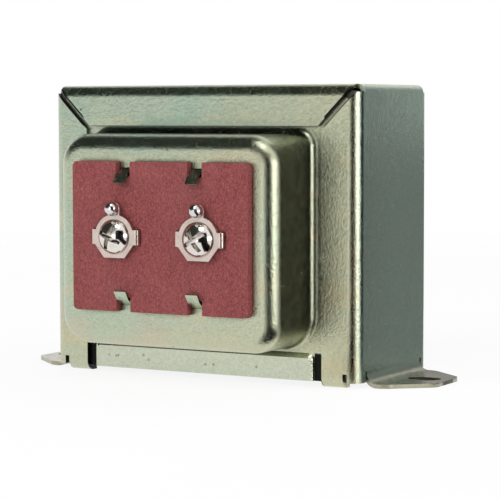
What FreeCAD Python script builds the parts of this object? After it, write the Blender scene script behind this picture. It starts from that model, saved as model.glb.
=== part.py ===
"""Doorbell transformer in a folded steel strap, built as a parametric document.

Millimetres, +Z up. X runs along the terminal side, which faces -Y. The origin lies midway
between the two feet, on the plane that they stand on.
"""
import FreeCAD, Part
import math
import os
import Sketcher

V = FreeCAD.Vector
NEAR = 1e-3
FLAT_SHARE = 2 - math.sqrt(2)

SIZES = [
    # Laminated core
    ("core_width", 66.0, "width of a lamination"),
    ("core_height", 55.0, "height of a lamination"),
    ("core_stack", 29.0, "thickness of the stack of laminations"),
    ("core_yoke", 11.0, "height of the top and bottom yokes"),
    ("core_limb", 11.0, "width of an outer limb"),
    ("core_centre", 22.0, "width of the centre limb"),
    # Folded strap round the core
    ("strap_sheet", 0.8, "thickness of the strap"),
    ("strap_gap", 0.5, "room between the core and the strap, at the sides and the top"),
    ("strap_flange", 7.9, "width of the strap's flanges, over the sheet"),
    ("strap_bend", 2.4, "outside radius of the bend into a flange"),
    ("strap_corner", 1.4, "outside radius of the two top corners"),
    ("mitre_gap", 1.0, "width of the open slit at each mitred corner"),
    ("mitre_relief", 0.1, "how far the slit's relief goes beyond a top corner's bend"),
    ("tab_width", 4.6, "width of a clinch tab"),
    ("tab_reach", 7.2, "how far a clinch tab reaches under the core"),
    ("tab_bend", 1.2, "inside radius of a clinch tab's bend"),
    ("tab_clear", 0.25, "room between a clinch tab and the core"),
    ("tab_lift", 0.05, "height of a clinch tab over the standing plane"),
    ("slit_width", 0.9, "width of the slit beside a clinch tab"),
    ("slit_height", 1.7, "height of the slit beside a clinch tab"),
    # Feet
    ("foot_reach", 11.4, "how far a foot stands out from the side wall"),
    ("foot_width", 24.0, "width of a foot at the wall"),
    ("foot_tip", 10.5, "width of a foot at its tip"),
    ("foot_shoulder", 3.4, "distance from the wall to the start of the taper"),
    ("foot_bend", 2.0, "inside radius of the bend into a foot"),
    ("foot_slit", 0.6, "width of the slit at either side of a foot's bend"),
    ("fold_relief", 0.3, "how far the strip of a foot or a tab goes up over its bend"),
    ("foot_round", 2.8, "radius of a foot's tip corners"),
    ("shoulder_round", 4.0, "radius where a foot's taper starts"),
    ("slot_length", 6.5, "length of a mounting slot, end to end"),
    ("slot_width", 4.5, "width of a mounting slot"),
    ("slot_place", 6.5, "distance from the wall to the middle of a slot"),
    # Drawn covers
    ("cover_sheet", 0.5, "thickness of a cover"),
    ("cover_edge", 0.2, "room between a cover's rim and the strap's bends"),
    ("dome_width", 48.2, "width of a cover's dome"),
    ("dome_height", 40.8, "height of a cover's dome"),
    ("dome_rise", 6.1, "height of the dome's lower wall over the core's lower face"),
    ("front_depth", 13.9, "how far the front dome stands out from the strap"),
    ("rear_depth", 11.0, "how far the rear dome stands out from the strap"),
    ("dome_corner", 6.0, "outside radius of a dome's four corners"),
    ("dome_edge", 2.2, "outside radius of the bend round a dome's face"),
    ("dome_root", 0.8, "radius where a dome meets its rim"),
    ("rail_width", 49.2, "width of the raised rail under a dome"),
    ("rail_height", 5.25, "height of the raised rail"),
    ("rail_round", 1.3, "radius of the rail's upper corners"),
    ("rail_edge", 0.4, "radius round the rail's face"),
    # Terminal board and the tongues that hold it
    ("board_side", 10.05, "distance from a terminal screw to the board's side edge"),
    ("board_sheet", 1.6, "thickness of the terminal board"),
    ("board_corner", 1.0, "radius of the board's corners"),
    ("board_lift", 0.9, "height of the board's middle over the dome's middle"),
    ("notch_spacing", 15.8, "distance between the two notches of an edge"),
    ("notch_width", 3.2, "width of a notch"),
    ("notch_depth", 2.8, "depth of a notch"),
    ("tongue_width", 2.6, "width of a tongue"),
    ("tongue_fold", 1.5, "distance from the board's edge to a tongue's fold"),
    ("tongue_reach", 3.9, "distance from the board's edge to a tongue's end"),
    ("tongue_ride", 0.05, "room between a tongue and the board's face"),
    ("tongue_rise", 0.1, "how much a tongue lifts off the board towards its end"),
    ("tongue_foot", 0.35, "how much a tongue's fold spreads along the sheet"),
    # Terminals
    ("terminal_spacing", 18.5, "distance between the two terminal screws"),
    ("opening_room", 1.2, "room round the terminals in the front cover's opening"),
    ("opening_web", 1.9, "width of the web between the opening and a tongue's window"),
    ("plate_sheet", 0.8, "thickness of a terminal plate"),
    ("plate_lift", 0.3, "room between a terminal plate and the board"),
    ("plate_round", 4.35, "radius of a terminal plate's upper part"),
    ("plate_drop", 4.0, "distance from the screw to the plate's lower edge"),
    ("plate_foot", 4.6, "length of the plate's lower edge"),
    ("plate_chamfer", 2.6, "height of the plate's two lower chamfers"),
    ("ear_span", 10.5, "distance over a plate's two ears"),
    ("ear_width", 2.9, "width of an ear"),
    ("ear_tail", 0.9, "how far an ear stands out behind the board"),
    ("ear_bend", 0.7, "outside radius of an ear's bend"),
    ("ear_room", 0.1, "room round an ear in its slot"),
    ("lug_width", 2.4, "width of a plate's soldering lug"),
    ("lug_reach", 5.4, "distance from the screw to the soldered lead"),
    # Terminal screws
    ("screw_size", 3.5, "outside diameter of a screw's thread"),
    ("screw_length", 6.0, "length of a screw under its head"),
    ("head_width", 6.6, "diameter of a screw's head"),
    ("head_height", 2.3, "height of a screw's head"),
    ("head_rim", 1.2, "height of the straight part of the head"),
    ("thread_room", 0.05, "room round a screw's thread"),
    ("board_room", 0.4, "room round a screw or a lead in the board"),
    ("recess_span", 4.0, "width of the cross recess"),
    ("recess_slot", 1.05, "width of the recess's arms"),
    ("recess_depth", 1.5, "depth of the cross recess"),
    # Leads of the low voltage winding
    ("solder_size", 2.7, "diameter of a bead of solder at the lug"),
    ("solder_tip", 1.5, "diameter of a bead of solder at its tip"),
    ("solder_rise", 2.4, "height of a bead of solder over the lug"),
    ("lead_size", 0.8, "diameter of a lead"),
    ("lead_room", 0.05, "room round a lead in the lug"),
    ("card_room", 0.3, "room round a lead in the front card"),
    # Coil
    ("bobbin_room", 0.3, "room between the bobbin and the core"),
    ("bobbin_wall", 1.0, "wall of the bobbin's tube"),
    ("bobbin_flange", 1.2, "thickness of the bobbin's flanges"),
    ("coil_build", 7.9, "build of a winding over the bobbin's tube"),
    ("coil_corner", 2.0, "radius of a winding's inner corners"),
    ("primary_height", 16.6, "height of the primary winding"),
    ("wrap_sheet", 0.4, "thickness of the tape over a winding"),
    ("card_sheet", 0.4, "thickness of an insulating card"),
    # Rear hub
    ("hub_size", 20.6, "outside diameter of the threaded nipple"),
    ("hub_length", 12.0, "length of the nipple behind its collar"),
    ("hub_wall", 2.5, "wall of the nipple"),
    ("hub_stake", 0.9, "how far the nipple's staked end reaches inside the cover"),
    ("hub_room", 0.1, "room round the nipple in the cover and the locknut"),
    ("collar_reach", 2.0, "how far the nipple's collar stands out from its thread"),
    ("collar_sheet", 1.6, "thickness of the nipple's collar"),
    ("nut_wall", 1.7, "wall of the locknut under its notches"),
    ("nut_sheet", 3.0, "thickness of the locknut"),
    ("nut_place", 3.2, "distance from the collar to the locknut"),
    ("nut_notch", 4.4, "width of the notches between the locknut's lugs"),
    ("nut_notch_depth", 1.9, "depth of the notches between the lugs"),
    ("bushing_room", 0.05, "room between the bushing and the nipple"),
    ("bushing_wall", 1.7, "wall of the bushing"),
    ("bushing_rim", 1.3, "thickness of the bushing's rim"),
    ("bushing_step", 0.6, "how far the bushing's rim stays inside the thread"),
]

RECESS_TURN = {"left": -24.0, "right": 31.0}
NUT_LUGS = 6
SIDES = {"left": -1, "right": 1}
THROUGH = 3
START, END, CENTRE = 1, 2, 3


class Size:
    """A length with its value and the words that tie it to the sheet."""

    def __init__(self, value, words):
        self.value = value
        self.words = words

    def __add__(self, other):
        return joined(self, "+", other)

    def __sub__(self, other):
        return joined(self, "-", other)

    def __mul__(self, other):
        return joined(self, "*", other)

    def __truediv__(self, other):
        return joined(self, "/", other)

    def __neg__(self):
        return joined(Size(0.0, "0"), "-", self)

    def __rmul__(self, other):
        return joined(other, "*", self)


def joined(first, sign, second):
    """Two lengths, or a length and a plain number, joined by + - * or /."""
    first = first if isinstance(first, Size) else Size(float(first), str(first))
    second = second if isinstance(second, Size) else Size(float(second), str(second))
    value = {
        "+": first.value + second.value,
        "-": first.value - second.value,
        "*": first.value * second.value,
        "/": first.value / (second.value or 1.0),
    }[sign]
    return Size(value, f"({first.words} {sign} {second.words})")


class Names:
    """The driving sizes by name, and the places that follow from them."""

    def __init__(self):
        for name, value, _ in SIZES:
            setattr(self, name, Size(value, f"Sizes.{name}"))
        self.core_y = self.core_stack / 2
        self.core_foot = self.tab_lift + self.strap_sheet + self.tab_clear
        self.core_top = self.core_foot + self.core_height
        self.strap_x = self.core_width / 2 + self.strap_gap + self.strap_sheet
        self.strap_y = self.core_y + self.cover_sheet + self.strap_sheet
        self.strap_top = self.core_top + self.strap_gap + self.strap_sheet
        self.window_x = self.strap_x - self.strap_flange
        self.window_top = self.strap_top - self.strap_flange
        self.cover_x = self.strap_x - self.strap_bend - self.cover_edge
        self.cover_top = self.strap_top - self.strap_bend - self.cover_edge
        self.cover_y = self.core_y + self.cover_sheet
        self.dome_foot = self.core_foot + self.dome_rise
        self.dome_top = self.dome_foot + self.dome_height
        self.dome_z = self.dome_foot + self.dome_height / 2
        self.front_y = self.strap_y + self.front_depth
        self.rear_y = self.strap_y + self.rear_depth
        self.opening_x = (self.terminal_spacing + self.ear_span) / 2 + self.opening_room
        self.opening_rise = self.lug_reach + self.lead_size / 2 + self.opening_room
        self.window_depth = self.tongue_fold + self.tongue_reach
        self.board_x = self.terminal_spacing / 2 + self.board_side
        self.board_rise = self.opening_rise + self.opening_web + self.window_depth
        self.board_z = self.dome_z + self.board_lift
        self.board_y = self.front_y + self.board_sheet
        self.plate_back = self.board_y + self.plate_lift
        self.plate_y = self.plate_back + self.plate_sheet
        self.lead_z = self.board_z + self.lug_reach
        self.tube_x = self.core_centre / 2 + self.bobbin_room + self.bobbin_wall
        self.tube_y = self.core_y + self.bobbin_room + self.bobbin_wall
        self.coil_x = self.tube_x + self.coil_build + self.wrap_sheet
        self.coil_y = self.tube_y + self.coil_build + self.wrap_sheet
        self.coil_foot = self.core_foot + self.core_yoke + self.bobbin_room
        self.coil_top = self.core_top - self.core_yoke - self.bobbin_room
        self.primary_foot = self.coil_foot + self.bobbin_flange
        self.primary_top = self.primary_foot + self.primary_height
        self.secondary_foot = self.primary_top + self.bobbin_flange
        self.secondary_top = self.coil_top - self.bobbin_flange
        self.collar_y = self.rear_y + self.collar_sheet
        self.hub_start = self.rear_y - self.cover_sheet - self.hub_stake
        self.hub_end = self.collar_y + self.hub_length
        self.hub_hole = self.hub_size / 2 - self.hub_wall


n = Names()
ZERO = Size(0.0, "0")


def make_sheet(doc):
    """The spreadsheet that holds every driving size under its own name."""
    sheet = doc.addObject("Spreadsheet::Sheet", "Sizes")
    for row, (name, value, meaning) in enumerate(SIZES, start=1):
        sheet.set(f"A{row}", meaning)
        sheet.set(f"B{row}", str(value))
        sheet.setAlias(f"B{row}", name)
    doc.recompute()


def bind(thing, prop, size):
    """Ties a property to the sheet."""
    thing.setExpression(prop, size.words)


def new_body(doc, label):
    """An empty body under its node's name."""
    body = doc.addObject("PartDesign::Body", label)
    body.Label = label
    return body


def sketch_on(body, role, offset):
    """A sketch parallel to one of the body's own planes."""
    plane = next(item for item in body.Origin.OriginFeatures if item.Role == role)
    sketch = body.newObject("Sketcher::SketchObject", "Sketch")
    sketch.AttachmentSupport = [(plane, "")]
    sketch.MapMode = "FlatFace"
    bind(sketch, "AttachmentOffset.Base.z", offset)
    return sketch


def front_sketch(body, y):
    """A sketch in X and Z at a given Y."""
    return sketch_on(body, "XZ_Plane", -y)


def plan_sketch(body, z):
    """A sketch in X and Y at a given Z."""
    return sketch_on(body, "XY_Plane", z)


def side_sketch(body, x):
    """A sketch in Y and Z at a given X."""
    return sketch_on(body, "YZ_Plane", x)


def fix(sketch, kind, curve, point, size):
    """Holds a point of a curve at a distance from the sketch's origin."""
    number = sketch.addConstraint(Sketcher.Constraint(kind, -1, 1, curve, point, size.value))
    bind(sketch, f"Constraints[{number}]", size)


def fix_point(sketch, curve, point, place):
    """Holds a point of a curve at a place given by two lengths."""
    fix(sketch, "DistanceX", curve, point, place[0])
    fix(sketch, "DistanceY", curve, point, place[1])


def fix_radius(sketch, curve, radius):
    """Gives a circle or an arc its radius."""
    number = sketch.addConstraint(Sketcher.Constraint("Radius", curve, radius.value))
    bind(sketch, f"Constraints[{number}]", radius)


def draw_edge(sketch, start, end, centre=None):
    """A straight edge, or an arc about a centre. Gives the numbers of its two ends."""
    if centre is None:
        sketch.addGeometry(Part.LineSegment(start, end))
        return START, END
    middle = V(centre[0].value, centre[1].value, 0)
    outward = (start - middle + end - middle).normalize()
    crest = middle + outward * (start - middle).Length
    leftward = (start - middle).cross(end - middle).z > 0
    low, high = (start, end) if leftward else (end, start)
    sketch.addGeometry(Part.Arc(low, crest, high))
    return (START, END) if leftward else (END, START)


def draw_outline(sketch, corners):
    """A closed outline. The edge that starts at a corner with a third place is an arc about it."""
    first = sketch.GeometryCount
    points = [V(x.value, y.value, 0) for x, y, *_ in corners]
    ends = []
    for start, end, (_, _, *centres) in zip(points, points[1:] + points[:1], corners):
        ends.append(draw_edge(sketch, start, end, *centres))
    for number, (x, y, *centres) in enumerate(corners):
        after = (number + 1) % len(corners)
        meeting = (first + number, ends[number][1], first + after, ends[after][0])
        sketch.addConstraint(Sketcher.Constraint("Coincident", *meeting))
        fix_point(sketch, first + number, ends[number][0], (x, y))
        for centre in centres:
            fix(sketch, "DistanceX", first + number, CENTRE, centre[0])
    return sketch


def draw_box(sketch, low_x, high_x, low_y, high_y):
    """An upright rectangle."""
    corners = [(low_x, low_y), (high_x, low_y), (high_x, high_y), (low_x, high_y)]
    return draw_outline(sketch, corners)


def draw_bevelled(sketch, half_x, half_y, bevel):
    """An upright rectangle round the origin with bevelled corners."""
    x, y = half_x - bevel, half_y - bevel
    return draw_outline(sketch, [
        (-x, -half_y), (x, -half_y), (half_x, -y), (half_x, y),
        (x, half_y), (-x, half_y), (-half_x, y), (-half_x, -y),
    ])


def draw_circle(sketch, x, y, radius):
    """A circle."""
    curve = sketch.addGeometry(Part.Circle(V(x.value, y.value, 0), V(0, 0, 1), radius.value))
    fix_point(sketch, curve, CENTRE, (x, y))
    fix_radius(sketch, curve, radius)
    return sketch


def draw_fold(sketch, far, towards, low, bend, end):
    """A strip of the strap's sheet that comes down a wall, bends and runs level to its end."""
    near, level = far + n.strap_sheet * towards, low + n.strap_sheet
    centre = (near + bend * towards, level + bend)
    top = centre[1] + n.fold_relief
    return draw_outline(sketch, [
        (far, top), (far, centre[1], centre), (centre[0], low), (end, low),
        (end, level), (centre[0], level, centre), (near, centre[1]), (near, top),
    ])


def draw_round_box(sketch, low_x, high_x, low_y, high_y, radius):
    """An upright rectangle with four round corners."""
    left, right, low, high = low_x + radius, high_x - radius, low_y + radius, high_y - radius
    first, quarter = sketch.GeometryCount, math.radians(90)
    centres = [(right, low), (right, high), (left, high), (left, low)]
    arcs = []
    for number, (x, y) in enumerate(centres):
        circle = Part.Circle(V(x.value, y.value, 0), V(0, 0, 1), radius.value)
        start = quarter * (number - 1)
        arcs.append(Part.ArcOfCircle(circle, start, start + quarter))
        sketch.addGeometry(arcs[-1])
    for number, arc in enumerate(arcs):
        following = (number + 1) % len(arcs)
        sketch.addGeometry(Part.LineSegment(arc.EndPoint, arcs[following].StartPoint))
        line = first + len(arcs) + number
        sketch.addConstraint(Sketcher.Constraint("Tangent", first + number, END, line, START))
        sketch.addConstraint(Sketcher.Constraint("Tangent", line, END, first + following, START))
    for number, centre in enumerate(centres):
        fix_point(sketch, first + number, CENTRE, centre)
        fix_radius(sketch, first + number, radius)
    return sketch


def draw_slot(sketch, x, length, width):
    """A slot along X with round ends, centred on the X axis."""
    left, right, radius = x - (length - width) / 2, x + (length - width) / 2, width / 2
    quarter, level = math.radians(90), V(0, 0, 1)
    ends = [
        (left, Part.Circle(V(left.value, 0, 0), level, radius.value), quarter),
        (right, Part.Circle(V(right.value, 0, 0), level, radius.value), -quarter),
    ]
    first = sketch.GeometryCount
    arcs = [Part.ArcOfCircle(circle, start, start + quarter * 2) for _, circle, start in ends]
    for arc, other in zip(arcs, reversed(arcs)):
        sketch.addGeometry(arc)
        sketch.addGeometry(Part.LineSegment(arc.EndPoint, other.StartPoint))
    curves = range(first, sketch.GeometryCount)
    for curve, following in zip(curves, [*curves[1:], first]):
        sketch.addConstraint(Sketcher.Constraint("Tangent", curve, END, following, START))
    for curve, (place, _, _) in zip(curves[::2], ends):
        fix_point(sketch, curve, CENTRE, (place, ZERO))
    fix_radius(sketch, first, radius)
    return sketch


def volume(body):
    """The volume of what the body holds so far."""
    return body.Shape.Volume if body.Shape.Solids else 0.0


def prism(body, kind, sketch, length, towards):
    """Adds or cuts a prism. Towards is 1 or -1 along the sketch's world axis, or 0 for both."""
    before = volume(body)
    feature = body.newObject(f"PartDesign::{kind}", kind)
    feature.Profile = sketch
    feature.SideType = "One side" if towards else "Symmetric"
    role = sketch.AttachmentSupport[0][0].Role
    along_normal = towards * (-1 if role == "XZ_Plane" else 1) > 0
    feature.Reversed = bool(towards) and along_normal == (kind == "Pocket")
    bind(feature, "Length", length)
    body.Document.recompute()
    change = (volume(body) - before) * (1 if kind == "Pad" else -1)
    if change < NEAR:
        raise ValueError(f"{body.Label}: {feature.Name} did not change the solid")
    return feature


def pad(body, sketch, length, towards):
    """Adds a prism of the sketch."""
    return prism(body, "Pad", sketch, length, towards)


def cut(body, sketch, length, towards):
    """Cuts a prism of the sketch."""
    return prism(body, "Pocket", sketch, length, towards)


def three_points(edge):
    """The two ends of an edge and its middle."""
    first, last = edge.ParameterRange
    return [edge.valueAt(place) for place in (first, (first + last) / 2, last)]


def at(value, size):
    """Whether a coordinate lies at a size, on either side of the origin."""
    return abs(abs(value) - abs(size.value)) < NEAR


def round_edges(body, radius, test):
    """Rounds each edge whose three points all pass the test."""
    base = body.Tip
    numbered = enumerate(base.Shape.Edges, start=1)
    names = [f"Edge{count}" for count, edge in numbered if all(map(test, three_points(edge)))]
    feature = body.newObject("PartDesign::Fillet", "Fillet")
    feature.Base = (base, names)
    bind(feature, "Radius", radius)
    body.Document.recompute()
    if not names or "Invalid" in feature.State:
        raise ValueError(f"{body.Label}: {feature.Name} rounded nothing")
    return feature


def flatten_edges(body, radius, test):
    """Bevels edges with a flat that touches the arc of the given radius."""
    base = body.Tip
    numbered = enumerate(base.Shape.Edges, start=1)
    names = [f"Edge{count}" for count, edge in numbered if all(map(test, three_points(edge)))]
    feature = body.newObject("PartDesign::Chamfer", "Chamfer")
    feature.Base = (base, names)
    bind(feature, "Size", radius * FLAT_SHARE)
    body.Document.recompute()
    if not names or "Invalid" in feature.State:
        raise ValueError(f"{body.Label}: {feature.Name} bevelled nothing")
    return feature


def strap_shell(body):
    """The folded sheet over the left, the top and the right, with its flanges still whole."""
    block = front_sketch(body, ZERO)
    pad(body, draw_box(block, -n.strap_x, n.strap_x, n.core_foot, n.strap_top), n.strap_y * 2, 0)
    on_edge = lambda p: at(p.y, n.strap_y) and (p.z > n.core_foot.value + NEAR or at(p.x, n.strap_x))
    middle_up = lambda p: on_edge(p) and (at(p.x, n.strap_x) or at(p.z, n.strap_top))
    round_edges(body, n.strap_bend, middle_up)
    base = body.Tip
    numbered = enumerate(base.Shape.Faces, start=1)
    level = n.core_foot.value + NEAR
    under = [f"Face{count}" for count, face in numbered if face.BoundBox.ZMax < level]
    shell = body.newObject("PartDesign::Thickness", "Thickness")
    shell.Base = (base, under)
    shell.Reversed = True
    bind(shell, "Value", n.strap_sheet)
    body.Document.recompute()


def strap_windows(body):
    """The open window in front and behind, and the mitred slits at its upper corners."""
    window = front_sketch(body, ZERO)
    cut(body, draw_box(window, -n.window_x, n.window_x, ZERO, n.window_top), n.strap_y * THROUGH, 0)
    for side in (-1, 1):
        for way in (-1, 1):
            mitre_slit(body, side, way)
    inside = lambda p: abs(p.y) < n.strap_y.value - n.strap_bend.value + NEAR
    outer = lambda p: inside(p) and at(p.x, n.strap_x) and at(p.z, n.strap_top)
    round_edges(body, n.strap_corner, outer)
    inner_x, inner_top = n.strap_x - n.strap_sheet, n.strap_top - n.strap_sheet
    inner = lambda p: inside(p) and at(p.x, inner_x) and at(p.z, inner_top)
    round_edges(body, n.strap_corner - n.strap_sheet, inner)


def mitre_slit(body, side, way):
    """One slit at 45 degrees, from the window's corner out through the bends."""
    half = n.mitre_gap * (0.5 ** 0.5)
    relief = n.strap_corner + n.mitre_relief
    open_x, open_z = n.window_x - relief, n.window_top - relief
    near_x, near_z = n.strap_x - relief, n.strap_top - relief
    far_x, far_z = n.strap_x + relief, n.strap_top + relief
    slit = front_sketch(body, n.strap_y * way)
    draw_outline(slit, [
        ((open_x - half) * side, open_z), (open_x * side, open_z - half),
        ((near_x + half) * side, near_z), (far_x * side, near_z), (far_x * side, far_z),
        (near_x * side, far_z), (near_x * side, near_z + half),
    ])
    cut(body, slit, n.strap_bend + n.mitre_relief, -way)


def strap_tabs(body):
    """The four clinch tabs folded under the core, and the slit beside each."""
    fold = n.tab_lift + n.strap_sheet + n.tab_bend + n.fold_relief
    tab_end = n.window_x + n.tab_width
    slit_end = tab_end + n.slit_width
    for side in (-1, 1):
        for start, end, top in (
            (n.window_x, tab_end, fold),
            (tab_end, slit_end, n.core_foot + n.slit_height),
        ):
            opening = front_sketch(body, ZERO)
            draw_box(opening, start * side, end * side, ZERO, top)
            cut(body, opening, n.strap_y * THROUGH, 0)
        for way in (-1, 1):
            profile = side_sketch(body, n.window_x * side)
            reach = (n.strap_y - n.tab_reach) * way
            draw_fold(profile, n.strap_y * way, -way, n.tab_lift, n.tab_bend, reach)
            pad(body, profile, n.tab_width, side)


def strap_feet(body):
    """The two feet folded out of the side walls, tapered and slotted."""
    tip_x = n.strap_x + n.foot_reach
    top = n.strap_sheet + n.foot_bend + n.fold_relief
    half = n.foot_width / 2 + n.foot_slit
    opening = side_sketch(body, ZERO)
    cut(body, draw_box(opening, -half, half, ZERO, top), n.strap_x * THROUGH, 0)
    for side in (-1, 1):
        profile = front_sketch(body, ZERO)
        wall = (n.strap_x - n.strap_sheet) * side
        draw_fold(profile, wall, side, ZERO, n.foot_bend, tip_x * side)
        pad(body, profile, n.foot_width, 0)
        taper_foot(body, side)
    in_tip = lambda p: at(p.x, tip_x) and at(p.y, n.foot_tip / 2)
    round_edges(body, n.foot_round, in_tip)
    in_shoulder = lambda p: at(p.x, n.strap_x + n.foot_shoulder) and at(p.y, n.foot_width / 2)
    round_edges(body, n.shoulder_round, in_shoulder)


def taper_foot(body, side):
    """The slanted edges and the mounting slot of one foot."""
    start_x, tip_x = n.strap_x + n.foot_shoulder, n.strap_x + n.foot_reach
    beyond = tip_x + n.foot_reach
    for way in (-1, 1):
        waste = plan_sketch(body, ZERO)
        draw_outline(waste, [
            (start_x * side, n.foot_width / 2 * way), (tip_x * side, n.foot_tip / 2 * way),
            (beyond * side, n.foot_tip / 2 * way), (beyond * side, n.foot_width * way),
            (start_x * side, n.foot_width * way),
        ])
        cut(body, waste, n.strap_sheet * THROUGH, 1)
    slot = plan_sketch(body, ZERO)
    draw_slot(slot, (n.strap_x + n.slot_place) * side, n.slot_length, n.slot_width)
    cut(body, slot, n.strap_sheet * THROUGH, 1)


def build_strap(doc):
    """The strap: one folded sheet round the core, with flanges, clinch tabs and feet."""
    body = new_body(doc, "outer_strap")
    strap_shell(body)
    strap_windows(body)
    strap_tabs(body)
    strap_feet(body)
    return body


def cover_dome(body, way, face_y):
    """The flat rim of a drawn cover and its hollow dome, with a round edge on the front one."""
    rim = front_sketch(body, n.core_y * way)
    foot_x = n.window_x - n.cover_edge
    step = n.tab_lift + n.strap_sheet + n.tab_bend + n.cover_edge
    draw_outline(rim, [
        (-foot_x, n.core_foot), (foot_x, n.core_foot), (foot_x, step), (n.cover_x, step),
        (n.cover_x, n.cover_top), (-n.cover_x, n.cover_top), (-n.cover_x, step), (-foot_x, step),
    ])
    pad(body, rim, n.cover_sheet, way)
    half = n.dome_width / 2
    dome = front_sketch(body, n.core_y * way)
    draw_round_box(dome, -half, half, n.dome_foot, n.dome_top, n.dome_corner)
    pad(body, dome, face_y - n.core_y, way)
    inner, inner_y = half - n.cover_sheet, face_y - n.cover_sheet
    low, high = n.dome_foot + n.cover_sheet, n.dome_top - n.cover_sheet
    hollow = front_sketch(body, n.core_y * way)
    draw_round_box(hollow, -inner, inner, low, high, n.dome_corner - n.cover_sheet)
    cut(body, hollow, inner_y - n.core_y, way)
    flatten_edges(body, n.dome_edge - n.cover_sheet, lambda p: at(p.y, inner_y))
    soften = round_edges if way < 0 else flatten_edges
    soften(body, n.dome_edge, lambda p: at(p.y, face_y))
    across = lambda p: abs(p.x) < half.value + NEAR
    upright = lambda p: n.dome_foot.value - NEAR < p.z < n.dome_top.value + NEAR
    in_dome = lambda p: across(p) and upright(p)
    flatten_edges(body, n.dome_root, lambda p: at(p.y, n.cover_y) and in_dome(p))


def cover_rail(body, way):
    """The raised rail stamped into the rim under the dome."""
    half, top = n.rail_width / 2, n.core_foot + n.rail_height
    rail = front_sketch(body, n.core_y * way)
    pad(body, draw_box(rail, -half, half, n.core_foot, top), n.strap_y - n.core_y, way)
    beyond = lambda p: abs(p.y) > n.cover_y.value - NEAR
    round_edges(body, n.rail_round, lambda p: beyond(p) and at(p.x, half) and at(p.z, top))
    in_face = lambda p: at(p.y, n.strap_y) and p.z < top.value + NEAR
    off_foot = lambda p: p.z > n.core_foot.value + NEAR or at(p.x, half)
    flatten_edges(body, n.rail_edge, lambda p: in_face(p) and off_foot(p))
    inner, inner_top = half - n.cover_sheet, top - n.cover_sheet
    hollow = front_sketch(body, n.core_y * way)
    draw_box(hollow, -inner, inner, ZERO, inner_top)
    cut(body, hollow, n.strap_y - n.cover_sheet - n.core_y, way)


def tongue(body, x, edge_z, way):
    """A tongue lanced from the dome's face and folded over the board's edge, way 1 is up."""
    sheet_in = n.front_y - n.cover_sheet
    place = lambda depth: edge_z + depth * way
    ride = n.board_y + n.tongue_ride
    over = ride + n.tongue_rise
    fold, reach, crest = n.tongue_fold, n.tongue_reach, n.notch_depth
    window = front_sketch(body, -n.front_y)
    near, far = place(fold + n.tongue_foot), place(n.window_depth)
    half = n.tongue_width / 2
    cut(body, draw_box(window, x - half, x + half, near, far), n.cover_sheet, 1)
    profile = side_sketch(body, x)
    draw_outline(profile, [
        (-sheet_in, place(fold - n.tongue_foot)), (-sheet_in, place(fold + n.tongue_foot)),
        (-ride, place(crest)), (-over, place(reach)),
        (-over - n.cover_sheet, place(reach)), (-ride - n.cover_sheet, place(crest - n.tongue_foot)),
        (-n.front_y, place(fold - n.tongue_foot)),
    ])
    pad(body, profile, n.tongue_width, 0)


def build_front_cover(doc):
    """The front cover: a deep dome, four tongues and an opening behind the board."""
    body = new_body(doc, "front_cover")
    cover_dome(body, -1, n.front_y)
    cover_rail(body, -1)
    opening = front_sketch(body, -n.front_y)
    low, high = n.board_z - n.opening_rise, n.board_z + n.opening_rise
    draw_box(opening, -n.opening_x, n.opening_x, low, high)
    cut(body, opening, n.cover_sheet, 1)
    for side in (-1, 1):
        for way in (-1, 1):
            edge = n.board_z - n.board_rise * way
            tongue(body, n.notch_spacing / 2 * side, edge, way)
    return body


def build_rear_cover(doc):
    """The rear cover: a shallower dome with the hole that the hub is rolled into."""
    body = new_body(doc, "rear_cover")
    cover_dome(body, 1, n.rear_y)
    cover_rail(body, 1)
    hole = front_sketch(body, n.rear_y)
    cut(body, draw_circle(hole, ZERO, n.dome_z, n.hub_size / 2 + n.hub_room), n.cover_sheet, -1)
    return body


def build_core(doc):
    """The E-shaped stack, limbs down, and the I-shaped stack that closes it."""
    half, split = n.core_width / 2, n.core_foot + n.core_yoke
    yoke, inner, centre = n.core_top - n.core_yoke, half - n.core_limb, n.core_centre / 2
    e_stack = new_body(doc, "core_e_stack")
    outline = front_sketch(e_stack, ZERO)
    draw_outline(outline, [
        (-half, split), (-inner, split), (-inner, yoke), (-centre, yoke), (-centre, split),
        (centre, split), (centre, yoke), (inner, yoke), (inner, split), (half, split),
        (half, n.core_top), (-half, n.core_top),
    ])
    pad(e_stack, outline, n.core_stack, 0)
    i_stack = new_body(doc, "core_i_stack")
    bar = front_sketch(i_stack, ZERO)
    pad(i_stack, draw_box(bar, -half, half, n.core_foot, split), n.core_stack, 0)
    return [e_stack, i_stack]


def build_bobbin(doc):
    """The bobbin: a square tube round the centre limb with a flange at each end and between."""
    body = new_body(doc, "bobbin")
    tube = plan_sketch(body, n.coil_foot)
    pad(body, draw_box(tube, -n.tube_x, n.tube_x, -n.tube_y, n.tube_y), n.coil_top - n.coil_foot, 1)
    for z in (n.coil_foot, n.primary_top, n.secondary_top):
        flange = plan_sketch(body, z)
        pad(body, draw_box(flange, -n.coil_x, n.coil_x, -n.coil_y, n.coil_y), n.bobbin_flange, 1)
    bore = plan_sketch(body, n.coil_foot)
    half_x, half_y = n.core_centre / 2 + n.bobbin_room, n.core_y + n.bobbin_room
    cut(body, draw_box(bore, -half_x, half_x, -half_y, half_y), n.coil_top - n.coil_foot, 1)
    return body


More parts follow.
